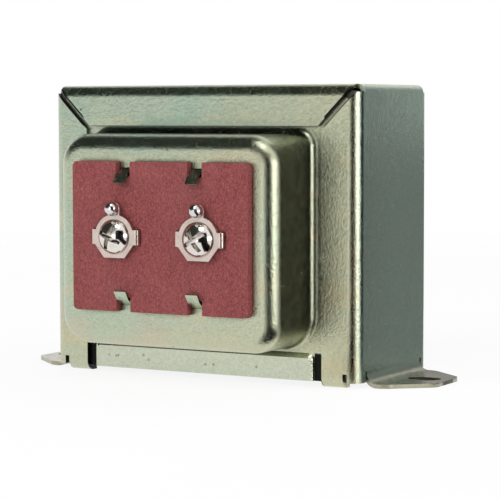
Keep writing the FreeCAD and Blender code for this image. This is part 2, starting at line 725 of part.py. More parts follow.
def build_ring(doc, label, low, high, inside, outside):
    """A ring round the bobbin's tube, such as a winding or its tape, with bevelled corners."""
    body = new_body(doc, label)
    outer = plan_sketch(body, low)
    out_x, out_y = n.tube_x + outside, n.tube_y + outside
    draw_bevelled(outer, out_x, out_y, (n.coil_corner + outside) * FLAT_SHARE)
    pad(body, outer, high - low, 1)
    inner = plan_sketch(body, low)
    in_x, in_y = n.tube_x + inside, n.tube_y + inside
    if inside.value:
        draw_bevelled(inner, in_x, in_y, (n.coil_corner + inside) * FLAT_SHARE)
    else:
        draw_box(inner, -in_x, in_x, -in_y, in_y)
    cut(body, inner, high - low, 1)
    return body


def build_windings(doc):
    """The two windings one over the other, each under its own turn of tape."""
    parts = []
    for name, low, high in (
        ("primary", n.primary_foot, n.primary_top),
        ("secondary", n.secondary_foot, n.secondary_top),
    ):
        parts.append(build_ring(doc, f"{name}_winding", low, high, ZERO, n.coil_build))
        tape = n.coil_build + n.wrap_sheet
        parts.append(build_ring(doc, f"{name}_wrap", low, high, n.coil_build, tape))
    return parts


def build_cards(doc):
    """The insulating cards between the coil and the covers, the front one slit over the leads."""
    parts = []
    for name, way in (("front_card", -1), ("rear_card", 1)):
        body = new_body(doc, name)
        sheet = front_sketch(body, n.coil_y * way)
        pad(body, draw_box(sheet, -n.coil_x, n.coil_x, n.coil_foot, n.coil_top), n.card_sheet, way)
        parts.append(body)
    for side in (-1, 1):
        slit = front_sketch(parts[0], -n.coil_y)
        middle, half = n.terminal_spacing / 2 * side, n.lead_size / 2 + n.card_room
        draw_box(slit, middle - half, middle + half, n.lead_z - half, n.coil_top)
        cut(parts[0], slit, n.card_sheet, -1)
    return parts


def build_board(doc):
    """The terminal board of vulcanised fibre, notched for the tongues."""
    body = new_body(doc, "terminal_board")
    edges = (n.board_z - n.board_rise, n.board_z + n.board_rise)
    plate = front_sketch(body, -n.front_y)
    draw_round_box(plate, -n.board_x, n.board_x, *edges, n.board_corner)
    pad(body, plate, n.board_sheet, -1)
    for side in (-1, 1):
        left = n.notch_spacing / 2 * side - n.notch_width / 2
        for edge in edges:
            notch = front_sketch(body, -n.front_y)
            draw_box(notch, left, left + n.notch_width, edge - n.notch_depth, edge + n.notch_depth)
            cut(body, notch, n.board_sheet, -1)
        board_holes(body, n.terminal_spacing / 2 * side)
    return body


def board_holes(body, x):
    """The holes of one terminal: its screw, its lead and its two ears."""
    screw = front_sketch(body, -n.front_y)
    cut(body, draw_circle(screw, x, n.board_z, n.screw_size / 2 + n.board_room), n.board_sheet, -1)
    lead = front_sketch(body, -n.front_y)
    cut(body, draw_circle(lead, x, n.lead_z, n.lead_size / 2 + n.board_room), n.board_sheet, -1)
    rise = n.ear_width / 2 + n.ear_room
    outer, inner = n.ear_span / 2 + n.ear_room, n.ear_span / 2 - n.plate_sheet - n.ear_room
    for low, high in ((x - outer, x - inner), (x + inner, x + outer)):
        slot = front_sketch(body, -n.front_y)
        cut(body, draw_box(slot, low, high, n.board_z - rise, n.board_z + rise), n.board_sheet, -1)


def draw_plate(sketch, x):
    """The outline of a terminal plate: round above the screw, chamfered below it."""
    left, right, foot = x - n.plate_round, x + n.plate_round, n.board_z - n.plate_drop
    middle = (x, n.board_z)
    return draw_outline(sketch, [
        (left, n.board_z), (left, foot + n.plate_chamfer), (x - n.plate_foot / 2, foot),
        (x + n.plate_foot / 2, foot), (right, foot + n.plate_chamfer), (right, n.board_z, middle),
        (x, n.board_z + n.plate_round, middle),
    ])


def build_terminal(doc, name, side):
    """A terminal plate with its soldering lug and its two ears folded into the board."""
    body = new_body(doc, f"terminal_{name}")
    x = n.terminal_spacing / 2 * side
    plate = front_sketch(body, -n.plate_back)
    pad(body, draw_plate(plate, x), n.plate_sheet, -1)
    lug = front_sketch(body, -n.plate_back)
    draw_box(lug, x - n.lug_width / 2, x + n.lug_width / 2, n.board_z, n.lead_z)
    pad(body, lug, n.plate_sheet, -1)
    lug_end = front_sketch(body, -n.plate_back)
    pad(body, draw_circle(lug_end, x, n.lead_z, n.lug_width / 2), n.plate_sheet, -1)
    ears = front_sketch(body, -n.plate_back)
    half_span, rise = n.ear_span / 2, n.ear_width / 2
    draw_box(ears, x - half_span, x + half_span, n.board_z - rise, n.board_z + rise)
    pad(body, ears, n.plate_sheet, -1)
    terminal_ears(body, x)
    hole = front_sketch(body, -n.plate_back)
    cut(body, draw_circle(hole, x, n.board_z, n.screw_size / 2 + n.thread_room), n.plate_sheet, -1)
    eye = front_sketch(body, -n.plate_back)
    cut(body, draw_circle(eye, x, n.lead_z, n.lead_size / 2 + n.lead_room), n.plate_sheet, -1)
    return body


def terminal_ears(body, x):
    """The folded part of the two ears, through the board."""
    rise, outer = n.ear_width / 2, n.ear_span / 2
    inner = outer - n.plate_sheet
    length = n.plate_lift + n.board_sheet + n.ear_tail
    for low, high in ((x - outer, x - inner), (x + inner, x + outer)):
        leg = front_sketch(body, -n.plate_back)
        pad(body, draw_box(leg, low, high, n.board_z - rise, n.board_z + rise), length, 1)
    ends = (x.value - outer.value, x.value + outer.value)
    on_bend = lambda p: at(p.y, n.plate_y) and min(abs(p.x - end) for end in ends) < NEAR
    round_edges(body, n.ear_bend, on_bend)


def build_screw(doc, name, side):
    """A terminal screw: pan head, cross recess and shank, built upright and then laid."""
    body = new_body(doc, f"terminal_screw_{name}")
    head = plan_sketch(body, ZERO)
    pad(body, draw_circle(head, ZERO, ZERO, n.head_width / 2), n.head_height, 1)
    flatten_edges(body, n.head_height - n.head_rim, lambda p: at(p.z, n.head_height))
    shank = plan_sketch(body, ZERO)
    pad(body, draw_circle(shank, ZERO, ZERO, n.screw_size / 2), n.screw_length, -1)
    recess = plan_sketch(body, n.head_height)
    arm, half = n.recess_span / 2, n.recess_slot / 2
    draw_outline(recess, [
        (-half, -arm), (half, -arm), (half, -half), (arm, -half), (arm, half), (half, half),
        (half, arm), (-half, arm), (-half, half), (-arm, half), (-arm, -half), (-half, -half),
    ])
    cut(body, recess, n.recess_depth, -1)
    turned = FreeCAD.Rotation(V(0, 1, 0), RECESS_TURN[name]) * FreeCAD.Rotation(V(1, 0, 0), 90)
    body.Placement = FreeCAD.Placement(V(0, 0, 0), turned)
    bind(body, "Placement.Base.x", n.terminal_spacing / 2 * side)
    bind(body, "Placement.Base.y", -n.plate_y)
    bind(body, "Placement.Base.z", n.board_z)
    doc.recompute()
    return body


def laid(doc, kind, label, place, length):
    """A cylinder or a cone along Y that starts at a place."""
    rod = doc.addObject(f"Part::{kind}", label)
    rod.Placement = FreeCAD.Placement(V(0, 0, 0), FreeCAD.Rotation(V(1, 0, 0), -90))
    for axis, size in zip("xyz", place):
        bind(rod, f"Placement.Base.{axis}", size)
    bind(rod, "Height", length)
    return rod


def build_lead(doc, name, side):
    """The winding's own wire from the coil to the lug."""
    place = (n.terminal_spacing / 2 * side, -n.plate_y, n.lead_z)
    lead = laid(doc, "Cylinder", f"secondary_lead_{name}", place, n.plate_y - n.coil_y)
    bind(lead, "Radius", n.lead_size / 2)
    return lead


def build_solder(doc, name, side):
    """The mound of solder that stands on a lug over the lead's end."""
    place = (n.terminal_spacing / 2 * side, -n.plate_y - n.solder_rise, n.lead_z)
    bead = laid(doc, "Cone", f"solder_joint_{name}", place, n.solder_rise)
    bind(bead, "Radius1", n.solder_tip / 2)
    bind(bead, "Radius2", n.solder_size / 2)
    return bead


def build_hub(doc):
    """The threaded nipple, with a collar outside the cover and its staked end inside it."""
    body = new_body(doc, "hub_nipple")
    tube = front_sketch(body, n.hub_start)
    pad(body, draw_circle(tube, ZERO, n.dome_z, n.hub_size / 2), n.hub_end - n.hub_start, 1)
    collar = front_sketch(body, n.rear_y)
    pad(body, draw_circle(collar, ZERO, n.dome_z, n.hub_size / 2 + n.collar_reach), n.collar_sheet, 1)
    bore = front_sketch(body, n.hub_start)
    cut(body, draw_circle(bore, ZERO, n.dome_z, n.hub_hole), n.hub_end - n.hub_start, 1)
    return body


def build_locknut(doc):
    """The locknut: a ring with lugs, run down the nipple towards the collar."""
    body = new_body(doc, "hub_locknut")
    bore_radius = n.hub_size / 2 + n.hub_room
    low = bore_radius + n.nut_wall
    ring = front_sketch(body, ZERO)
    pad(body, draw_circle(ring, ZERO, ZERO, low + n.nut_notch_depth), n.nut_sheet, 1)
    notch = front_sketch(body, ZERO)
    draw_box(notch, -n.nut_notch / 2, n.nut_notch / 2, low, low + n.nut_notch_depth * THROUGH)
    pocket = cut(body, notch, n.nut_sheet, 1)
    pattern = body.newObject("PartDesign::PolarPattern", "Lugs")
    pattern.Originals = [pocket]
    axis = next(item for item in body.Origin.OriginFeatures if item.Role == "Y_Axis")
    pattern.Axis = (axis, [""])
    pattern.Angle = 360
    pattern.Occurrences = NUT_LUGS
    body.Tip = pattern
    doc.recompute()
    bore = front_sketch(body, ZERO)
    cut(body, draw_circle(bore, ZERO, ZERO, bore_radius), n.nut_sheet, 1)
    bind(body, "Placement.Base.y", n.collar_y + n.nut_place)
    bind(body, "Placement.Base.z", n.dome_z)
    doc.recompute()
    return body


def build_bushing(doc):
    """The insulating bushing in the nipple, with a rim over its end."""
    body = new_body(doc, "lead_bushing")
    outer = n.hub_hole - n.bushing_room
    rim_radius = n.hub_size / 2 - n.bushing_step
    tube = front_sketch(body, n.hub_start)
    pad(body, draw_circle(tube, ZERO, n.dome_z, outer), n.hub_end - n.hub_start, 1)
    rim = front_sketch(body, n.hub_end)
    pad(body, draw_circle(rim, ZERO, n.dome_z, rim_radius), n.bushing_rim, 1)
    bore = front_sketch(body, n.hub_start)
    length = n.hub_end + n.bushing_rim - n.hub_start
    cut(body, draw_circle(bore, ZERO, n.dome_z, outer - n.bushing_wall), length, 1)
    return body


def build_all(doc):
    """Every sub-part of the transformer."""
    parts = [build_strap(doc), build_front_cover(doc), build_rear_cover(doc)]
    parts += build_core(doc)
    parts.append(build_bobbin(doc))
    parts += build_windings(doc)
    parts += build_cards(doc)
    parts.append(build_board(doc))
    for name, side in SIDES.items():
        parts.append(build_terminal(doc, name, side))
        parts.append(build_screw(doc, name, side))
        parts += [build_lead(doc, name, side), build_solder(doc, name, side)]
    parts += [build_hub(doc), build_locknut(doc), build_bushing(doc)]
    doc.recompute()
    return parts


def check(doc, parts):
    """Stops on a failed object or on a sub-part that is not one valid solid."""
    for thing in doc.Objects:
        if any(word in thing.State for word in ("Invalid", "Error")):
            raise ValueError(f"{thing.Name} is {thing.State}")
    for part in parts:
        shape = part.Shape
        if shape.isNull() or not shape.isValid() or len(shape.Solids) != 1:
            raise ValueError(f"{part.Label} is not one valid solid")


def write(parts):
    """One file for each sub-part, under its own name."""
    os.makedirs("parts", exist_ok=True)
    for part in parts:
        part.Shape.exportStep(f"parts/{part.Label}.step")
        box = part.Shape.BoundBox
        print(f"{part.Label:24s} {part.Shape.Volume:10.2f} mm3  z {box.ZMin:7.2f} to {box.ZMax:7.2f}")


def main():
    doc = FreeCAD.newDocument("doorbell_transformer")
    make_sheet(doc)
    parts = build_all(doc)
    check(doc, parts)
    write(parts)


main()
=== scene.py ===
"""Doorbell transformer: plated steel, vulcanised fibre and bright screws round the CAD frame."""
import math

import bmesh
import bpy
from mathutils import Matrix, Vector, noise


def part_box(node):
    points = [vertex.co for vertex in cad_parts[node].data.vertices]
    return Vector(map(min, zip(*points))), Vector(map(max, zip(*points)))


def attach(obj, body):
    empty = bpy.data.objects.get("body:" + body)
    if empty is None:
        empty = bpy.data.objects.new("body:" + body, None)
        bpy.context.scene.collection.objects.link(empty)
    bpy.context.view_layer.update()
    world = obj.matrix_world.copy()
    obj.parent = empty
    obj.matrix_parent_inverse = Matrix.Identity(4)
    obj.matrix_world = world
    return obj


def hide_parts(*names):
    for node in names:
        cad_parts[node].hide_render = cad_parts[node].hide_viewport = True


bl_info = {
    "name": "Doorbell Transformer",
    "version": (1, 0, 0),
    "blender": (4, 5, 0),
    "location": "View3D > Sidebar > Transformer",
    "description": "Finishes a doorbell transformer with plated steel, fibre, solder and screws",
    "category": "Object",
}

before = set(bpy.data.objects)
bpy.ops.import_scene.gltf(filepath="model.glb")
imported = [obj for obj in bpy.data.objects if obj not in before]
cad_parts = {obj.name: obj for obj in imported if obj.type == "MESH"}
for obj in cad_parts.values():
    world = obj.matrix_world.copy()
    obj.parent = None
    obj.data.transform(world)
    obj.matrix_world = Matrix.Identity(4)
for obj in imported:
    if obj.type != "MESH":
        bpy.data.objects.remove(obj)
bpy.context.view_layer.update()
MM = 0.001
SIDES = ("left", "right")
WHITE = (1.0, 1.0, 1.0)


# Settings


def prop_mm(name, description, value):
    """A length in metres, written here in millimetres."""
    return bpy.props.FloatProperty(
        name=name, description=description, default=value * MM, subtype="DISTANCE", unit="LENGTH")


def prop_share(name, description, value):
    """A share from 0 to 1."""
    return bpy.props.FloatProperty(
        name=name, description=description, default=value, min=0, max=1, subtype="FACTOR")


def prop_angle(name, description, value):
    """An angle in radians, written here in degrees."""
    return bpy.props.FloatProperty(
        name=name, description=description, default=math.radians(value), subtype="ANGLE", unit="ROTATION")


def prop_colour(name, description, value):
    """A linear colour."""
    return bpy.props.FloatVectorProperty(
        name=name, description=description, default=value, size=3, min=0, max=1, subtype="COLOR")


def prop_power(name, description, value):
    """A lamp's power in watts."""
    return bpy.props.FloatProperty(name=name, description=description, default=value, unit="POWER")


class PlatingSettings(bpy.types.PropertyGroup):
    """The passivated zinc of the strap and the covers."""
    base: prop_colour("Base", "Main colour of the zinc", (0.49, 0.57, 0.44))
    cool: prop_colour("Cool tint", "Blue-green interference tint", (0.42, 0.56, 0.45))
    warm: prop_colour("Warm tint", "Peach interference tint", (0.60, 0.50, 0.41))
    gold: prop_colour("Gold tint", "Yellow interference tint", (0.64, 0.57, 0.36))
    wall: prop_colour("Wall tint", "Blue-green tint of the strap's side walls", (0.40, 0.56, 0.48))
    rail: prop_colour("Rail tint", "Pale tint of the covers' rails", (0.60, 0.65, 0.53))
    foot: prop_colour("Foot tint", "Olive tint of the feet", (0.40, 0.36, 0.26))
    grit: prop_colour("Grit", "Dark end of the fine grain", (0.45, 0.46, 0.44))
    pit: prop_colour("Pits", "Colour of the few small pits", (0.10, 0.11, 0.09))
    # Painted dark reflection and shade on the domes' side walls and roots
    dome: prop_colour("Dome sides", "Dark tint of the domes' side walls", (0.05, 0.06, 0.04))
    # Painted shade: the colour of slits and corners where other surfaces close in
    nook_shade: prop_colour("Crevice_shade", "Colour in slits and corners", (0.02, 0.025, 0.02))
    dark: prop_colour("Dark", "Colour where no light reaches", (0.012, 0.014, 0.012))
    gloss: prop_share("Roughness", "Mean roughness of the plating", 0.18)
    crevice: prop_mm("Crevice", "Reach of the darkening in slits and corners", 3.0)
    grain: prop_mm("Grain", "Size of the fine grain", 0.5)
    cloud: prop_mm("Cloud", "Size of the broad patches of tint", 18.0)
    pit_gap: prop_mm("Pit gap", "Mean distance between pits", 7.0)


class BoardSettings(bpy.types.PropertyGroup):
    """The vulcanised fibre board."""
    colour: prop_colour("Colour", "Colour of the fibre", (0.300, 0.068, 0.067))
    dark: prop_colour("Dark fibre", "Colour of the darker fibres", (0.120, 0.022, 0.024))
    pale: prop_colour("Pale flecks", "Colour of the flecks", (0.46, 0.19, 0.17))
    pit: prop_colour("Pits", "Colour of the pits between fibres", (0.15, 0.028, 0.03))
    bloom: prop_colour("Bloom", "Colour of the dusty bloom", (0.42, 0.19, 0.18))
    fleck: prop_mm("Fleck", "Size of the flecks", 0.34)
    dust: prop_mm("Dust", "Size of the dusty patches", 11.0)
    edge: prop_mm("Edge", "Width of the worn edge", 0.12)


class ScrewSettings(bpy.types.PropertyGroup):
    """The two terminal screws."""
    wall: prop_mm("Wall", "Height of the straight wall of a head", 0.3)
    edge: prop_mm("Edge", "Chamfer under a head", 0.12)
    slot: prop_mm("Recess arm", "Width of an arm of the recess", 1.15)
    span: prop_mm("Recess span", "Width of the whole recess", 6.2)
    depth: prop_mm("Recess depth", "Depth of the recess", 1.5)
    slot_taper: prop_share("Arm taper", "Share of an arm's width at the recess's bottom", 0.6)
    span_taper: prop_share("Span taper", "Share of the span at the recess's bottom", 0.72)
    shank: prop_mm("Shank", "Radius of the thread", 1.75)
    pitch: prop_mm("Pitch", "Pitch of the thread", 0.8)
    ridge: prop_mm("Ridge", "Depth of the thread", 0.3)
    turn_left: prop_angle("Left turn", "Turn of the left recess", -24)
    turn_right: prop_angle("Right turn", "Turn of the right recess", 31)


class SolderSettings(bpy.types.PropertyGroup):
    """The two balls of solder."""
    bulge: prop_mm("Bulge", "Radius of a ball along its lead", 1.45)
    lift: prop_mm("Lift", "Height of a ball's middle over its lug", 0.7)
    flow: prop_angle("Flow", "Angle at which a ball meets its lug", 29)
    lump: prop_mm("Lump", "Height of the lumps", 0.10)
    lump_size: prop_mm("Lump size", "Size of the lumps", 1.1)


class HubSettings(bpy.types.PropertyGroup):
    """The nipple and its bushing."""
    thread: prop_mm("Thread", "Radius of the nipple's thread", 10.3)
    bore: prop_mm("Bore", "Radius of the nipple's bore", 7.8)
    collar: prop_mm("Collar", "Thickness of the collar", 1.6)
    edge: prop_mm("Edge", "Chamfer of the collar", 0.25)
    pitch: prop_mm("Pitch", "Pitch of the nipple's thread", 1.4)
    ridge: prop_mm("Ridge", "Depth of the nipple's thread", 0.6)
    tube: prop_mm("Tube", "Outer radius of the bushing's tube", 7.75)
    lead_bore: prop_mm("Lead bore", "Radius of the bushing's bore", 6.05)


class StageSettings(bpy.types.PropertyGroup):
    """The camera and the lamps."""
    focal: bpy.props.FloatProperty(
        name="Focal length", description="Focal length in mm", default=144.34, unit="CAMERA")
    key: prop_power("Key lamp", "Power of the key lamp", 7.0)
    side: prop_power("Side lamp", "Power of the side lamp", 2.2)
    top: prop_power("Top lamp", "Power of the top lamp", 1.5)


def settings(kind):
    """The scene's settings of one kind."""
    return getattr(bpy.context.scene, f"transformer_{kind}")


# Shader nodes

# How wide the bands of a wave texture are at a scale of 1
WAVE_WIDTH = math.tau / 20


def node(tree, kind, values=None, **props):
    """A shader node with its sockets set or linked."""
    made = tree.nodes.new("ShaderNode" + kind)
    for name, value in props.items():
        setattr(made, name, value)
    for socket, value in (values or {}).items():
        if isinstance(value, bpy.types.NodeSocket):
            tree.links.new(value, made.inputs[socket])
        else:
            made.inputs[socket].default_value = value
    return made


def rgba(colour):
    """A colour with full alpha."""
    return (*colour, 1.0)


def new_material(name, **values):
    """A material with one principled shader, its constants set on the shader's own sockets."""
    material = bpy.data.materials.new(name)
    material.use_nodes = True
    tree = material.node_tree
    shader = tree.nodes["Principled BSDF"]
    for socket, value in values.items():
        shader.inputs[socket.replace("_", " ")].default_value = value
    return material, tree, shader


def paint(tree, shader, colour, roughness=None):
    """Links a colour, and a roughness where there is one, to a shader."""
    tree.links.new(colour, shader.inputs["Base Color"])
    if roughness:
        tree.links.new(roughness, shader.inputs["Roughness"])


def bump(tree, shader, layers):
    """Bumps stacked on the shader's normal, from rows of height, strength and distance."""
    normal = None
    for height, strength, distance in layers:
        values = {"Height": height, "Strength": strength, "Distance": distance}
        if normal is not None:
            values["Normal"] = normal
        normal = node(tree, "Bump", values).outputs[0]
    tree.links.new(normal, shader.inputs["Normal"])


def object_point(tree, stretch=(1, 1, 1), turn=(0, 0, 0), shift=(0, 0, 0)):
    """The place on the piece, stretched where a pattern runs one way."""
    place = node(tree, "TexCoord").outputs["Object"]
    values = {"Vector": place, "Scale": stretch, "Rotation": turn, "Location": shift}
    return node(tree, "Mapping", values).outputs[0]


def object_parts(tree):
    """The place on the piece as its three numbers."""
    place = node(tree, "TexCoord").outputs["Object"]
    return node(tree, "SeparateXYZ", {"Vector": place}).outputs


def size_of(tree, value):
    """A number without its sign."""
    return node(tree, "Math", {0: value}, operation="ABSOLUTE").outputs[0]


def math_of(tree, operation, first, second):
    """Two numbers joined by an operation."""
    return node(tree, "Math", {0: first, 1: second}, operation=operation).outputs[0]


def all_of(tree, first, *others):
    """The product of several shares."""
    for share in others:
        first = math_of(tree, "MULTIPLY", first, share)
    return first


def spread(tree, factor, low, high, start=0.0, end=1.0):
    """A factor mapped from one range to another, and held at the ends."""
    values = {"Value": factor, "From Min": low, "From Max": high, "To Min": start, "To Max": end}
    return node(tree, "MapRange", values).outputs[0]


def rising(tree, place, edge, most=1.0, least=0.0):
    """A share that rises over an edge, which is two places in millimetres."""
    return spread(tree, place, edge[0] * MM, edge[1] * MM, least, most)


def falling(tree, place, edge, most=1.0):
    """A share that falls to nothing over an edge, which is two places in millimetres."""
    return spread(tree, place, edge[0] * MM, edge[1] * MM, most, 0)


def noise_of(tree, point, size, detail=3.0, roughness=0.55):
    """Noise whose features are about the given size in metres."""
    values = {"Vector": point, "Scale": 1 / size, "Detail": detail, "Roughness": roughness}
    return node(tree, "TexNoise", values).outputs["Fac"]


def cells_of(tree, point, size, output):
    """Cells of about the given size in metres."""
    return node(tree, "TexVoronoi", {"Vector": point, "Scale": 1 / size}).outputs[output]


def bands_of(tree, width, distortion, direction):
    """Bands of the given width in metres, one after the other along a direction."""
    values = {"Vector": object_point(tree), "Scale": WAVE_WIDTH / width, "Distortion": distortion}
    return node(tree, "TexWave", values, wave_type="BANDS", bands_direction=direction).outputs["Fac"]


def ramp(tree, factor, stops):
    """A colour ramp through stops of place and colour."""
    stops = list(stops)
    made = node(tree, "ValToRGB", {"Fac": factor})
    elements = made.color_ramp.elements
    while len(elements) < len(stops):
        elements.new(0.5)
    for element, (place, colour) in zip(elements, stops):
        element.position = place
        element.color = rgba(colour)
    return made.outputs["Color"]


def mix(tree, factor, first, second, blend="MIX"):
    """Two colours mixed."""
    made = node(tree, "Mix", {"Factor": factor}, data_type="RGBA", blend_type=blend)
    colours = [socket for socket in made.inputs if socket.type == "RGBA"]
    for socket, value in zip(colours, (first, second)):
        if isinstance(value, bpy.types.NodeSocket):
            tree.links.new(value, socket)
        else:
            socket.default_value = rgba(value)
    return next(socket for socket in made.outputs if socket.type == "RGBA")


def corner_shade(tree, colour, reach, closed, most, nook_shade):
    """Painted shade: a colour darkened where other surfaces close in and shade falls, between two shares
    of openness.
    """
    openness = node(tree, "AmbientOcclusion", {"Distance": reach}, samples=8).outputs["AO"]
    return mix(tree, spread(tree, openness, *closed, start=most, end=0), colour, nook_shade)


# Plating

# Where noise or openness changes a tint, and how much of the tint there is. A pit's stops are
# shares of the pit gap.
CLOUD_STOPS = (0.26, 0.48, 0.56, 0.80)
STREAK_STOPS, STREAK_SHARE = (0.50, 0.70), 0.45
GRAIN_STOPS, GRAIN_SHARE = (0.35, 0.65), 0.22
PIT_STOPS, PIT_SHARE = (0.030, 0.045), 0.75
# Painted shade in slits and corners: the openness over which it darkens the plating, and how much at most
NOOK_SHADE_STOPS, NOOK_SHADE_SHARE = (0.30, 0.75), 0.94

# The tints and shadows change over edges, each given as two places in millimetres: across is X,
# beside is X without its sign, deep is Y without its sign, and height is Z. A share says how much
# of a tint there is at its strongest, and the walls have one each, left and right. Climb is
# height less beside, across the mitred slits.
GOLD_ACROSS, GOLD_ACROSS_SHARE = (-4, 30), 0.45
GOLD_HEIGHT, GOLD_HEIGHT_SHARE = (3, 15), 0.30
# The domes' side walls and roots take a painted dark reflection and shade
DOME_BESIDE, DOME_DEEP, DOME_END, DOME_SHADE_SHARE = (23.2, 24.1), (15.9, 16.3), (25.6, 26.0), 0.62
WALL_BESIDE, WALL_ACROSS, WALL_SHARES = (33.6, 34.2), (-30, 30), (0.35, 0.8)
RAIL_BESIDE, RAIL_HEIGHT, RAIL_SHARE = (24.5, 24.6), (5.8, 6.0), 0.75
FOOT_HEIGHT, FOOT_SHARE = (1.0, 2.2), 0.85
# The gaps beside the rails, the slots' walls and the mitred slits take painted shade
GAP_BESIDE, GAP_END, GAP_HEIGHT = (24.66, 24.74), (26.5, 26.6), (6.2, 6.5)
SLOT_BESIDE, SLOT_DEEP, SLOT_HEIGHT, SLOT_SHARE = (36.8, 37.0), (2.3, 2.5), (0.70, 0.76), 0.9
SLIT_CLIMB, SLIT_CLIMB_END = (22.1, 22.25), (24.15, 24.3)
SLIT_BESIDE, SLIT_DEEP = (27.0, 27.2), (15.0, 15.3)

# The press's small dents on a rail, by X and Z, each painted as a dark spot in place of its shade, and
# how each fades from its middle
RAIL_DENTS = ((-19.6, 3.4), (-13.2, 3.9), (-12.0, 3.0), (1.1, 2.9), (2.9, 3.0), (12.5, 3.1))
DENT_EDGE, DENT_SHADE_SHARE = (0.10, 0.40), 0.5


def plated_steel(name, shift, warmth):
    """Passivated zinc: clouds of green, blue, peach and gold over a fine sparkling grain, with painted
    shade in slits, gaps and corners.
    """
    look = settings("plating")
    material, tree, shader = new_material(name, Metallic=1.0)
    point = object_point(tree, shift=shift)
    fine = noise_of(tree, point, look.grain, detail=4.0, roughness=0.7)
    colour = plating_places(tree, look, plating_clouds(tree, look, point, shift, warmth))
    shade = ramp(tree, fine, zip(GRAIN_STOPS, (look.grit, WHITE)))
    colour = mix(tree, GRAIN_SHARE, colour, shade, "MULTIPLY")
    pits = cells_of(tree, point, look.pit_gap, "Distance")
    colour = mix(tree, spread(tree, pits, *PIT_STOPS, start=PIT_SHARE, end=0), colour, look.pit)
    # Painted shade where other surfaces close in, as at the domes' roots and in the mitred slits
    colour = corner_shade(tree, colour, look.crevice, NOOK_SHADE_STOPS, NOOK_SHADE_SHARE, look.nook_shade)
    # Painted shade where no light reaches, and painted dark spots for the rails' dents
    for shadow in painted_shade_places(tree):
        colour = mix(tree, shadow, colour, look.dark)
    spangle = cells_of(tree, point, look.grain * 2.2, "Color")
    spot = node(tree, "SeparateColor", {"Color": spangle}).outputs[0]
    smear = noise_of(tree, point, look.cloud * 0.2)
    broad = spread(tree, smear, 0.3, 0.7, look.gloss - 0.05, look.gloss + 0.06)
    paint(tree, shader, colour, math_of(tree, "ADD", broad, spread(tree, spot, 0, 1, -0.05, 0.05)))
    wave = noise_of(tree, point, look.cloud * 0.8, detail=1.0)
    bump(tree, shader, [(wave, 0.3, 0.22 * MM), (fine, 0.8, 0.10 * MM), (spot, 0.6, 0.04 * MM)])
    return material


def plating_clouds(tree, look, point, shift, warmth):
    """The broad clouds of cool and warm tint, with slanting streaks of gold."""
    cloud = noise_of(tree, point, look.cloud, detail=2.5, roughness=0.6)
    colour = ramp(tree, cloud, zip(CLOUD_STOPS, (look.cool, look.base, look.base, look.warm)))
    slanting = object_point(tree, (0.3, 1, 1.7), (0, 0.25, 0), shift)
    streak = noise_of(tree, slanting, look.cloud * 0.45)
    return mix(tree, spread(tree, streak, *STREAK_STOPS, end=STREAK_SHARE + warmth), colour, look.gold)


def plating_places(tree, look, colour):
    """The tints that keep to a place, such as a wall, a rail or a foot, and a painted dark reflection on
    the domes' sides.
    """
    across, along, height = object_parts(tree)
    beside, deep = size_of(tree, across), size_of(tree, along)
    # Painted dark reflection and shade on the domes' sides
    dome = all_of(tree, rising(tree, beside, DOME_BESIDE), rising(tree, deep, DOME_DEEP),
                  falling(tree, beside, DOME_END, DOME_SHADE_SHARE))
    wall = rising(tree, beside, WALL_BESIDE)
    least, most = WALL_SHARES
    shares = (
        (rising(tree, across, GOLD_ACROSS, GOLD_ACROSS_SHARE), look.gold),
        (falling(tree, height, GOLD_HEIGHT, GOLD_HEIGHT_SHARE), look.gold),
        (dome, look.dome),
        (all_of(tree, wall, rising(tree, across, WALL_ACROSS, most, least)), look.wall),
        (all_of(tree, falling(tree, beside, RAIL_BESIDE),
                falling(tree, height, RAIL_HEIGHT, RAIL_SHARE)), look.rail),
        (all_of(tree, wall, falling(tree, height, FOOT_HEIGHT, FOOT_SHARE)), look.foot),
    )
    for share, tint in shares:
        colour = mix(tree, share, colour, tint)
    return colour


def painted_shade_places(tree):
    """Painted shade where no light reaches: beside the rails, on the slots' walls and along the mitred
    slits, and painted dark spots for the rails' dents.
    """
    across, along, height = object_parts(tree)
    beside, deep = size_of(tree, across), size_of(tree, along)
    climb = math_of(tree, "SUBTRACT", height, beside)
    gap = all_of(tree, rising(tree, beside, GAP_BESIDE), falling(tree, beside, GAP_END),
                 falling(tree, height, GAP_HEIGHT))
    slot = all_of(tree, rising(tree, beside, SLOT_BESIDE), falling(tree, deep, SLOT_DEEP),
                  falling(tree, height, SLOT_HEIGHT, SLOT_SHARE))
    slit = all_of(tree, rising(tree, climb, SLIT_CLIMB), falling(tree, climb, SLIT_CLIMB_END),
                  rising(tree, beside, SLIT_BESIDE), rising(tree, deep, SLIT_DEEP))
    return gap, slot, slit, *rail_dent_shade(tree)


def rail_dent_shade(tree):
    """The press's small dents on a rail, painted as dark spots in place of their shade."""
    flat = object_point(tree, (1, 0, 1))
    for across, height in RAIL_DENTS:
        middle = (across * MM, 0, height * MM)
        away = node(tree, "VectorMath", {0: flat, 1: middle}, operation="DISTANCE").outputs["Value"]
        yield falling(tree, away, DENT_EDGE, DENT_SHADE_SHARE)


# Fibre, bright metals, insulators, core and coil

# Each metal's colour, stain, roughness and strength of scratches
METALS = {
    "tinned_plate": ((0.68, 0.58, 0.52), (0.50, 0.40, 0.35), 0.22, 0.3),
    "bright_nickel": ((0.78, 0.74, 0.69), (0.66, 0.60, 0.54), 0.06, 0.15),
    "bright_solder": ((0.72, 0.71, 0.70), (0.52, 0.50, 0.49), 0.10, 0.12),
    "bright_zinc": ((0.58, 0.60, 0.58), (0.42, 0.44, 0.42), 0.26, 0.3),
}
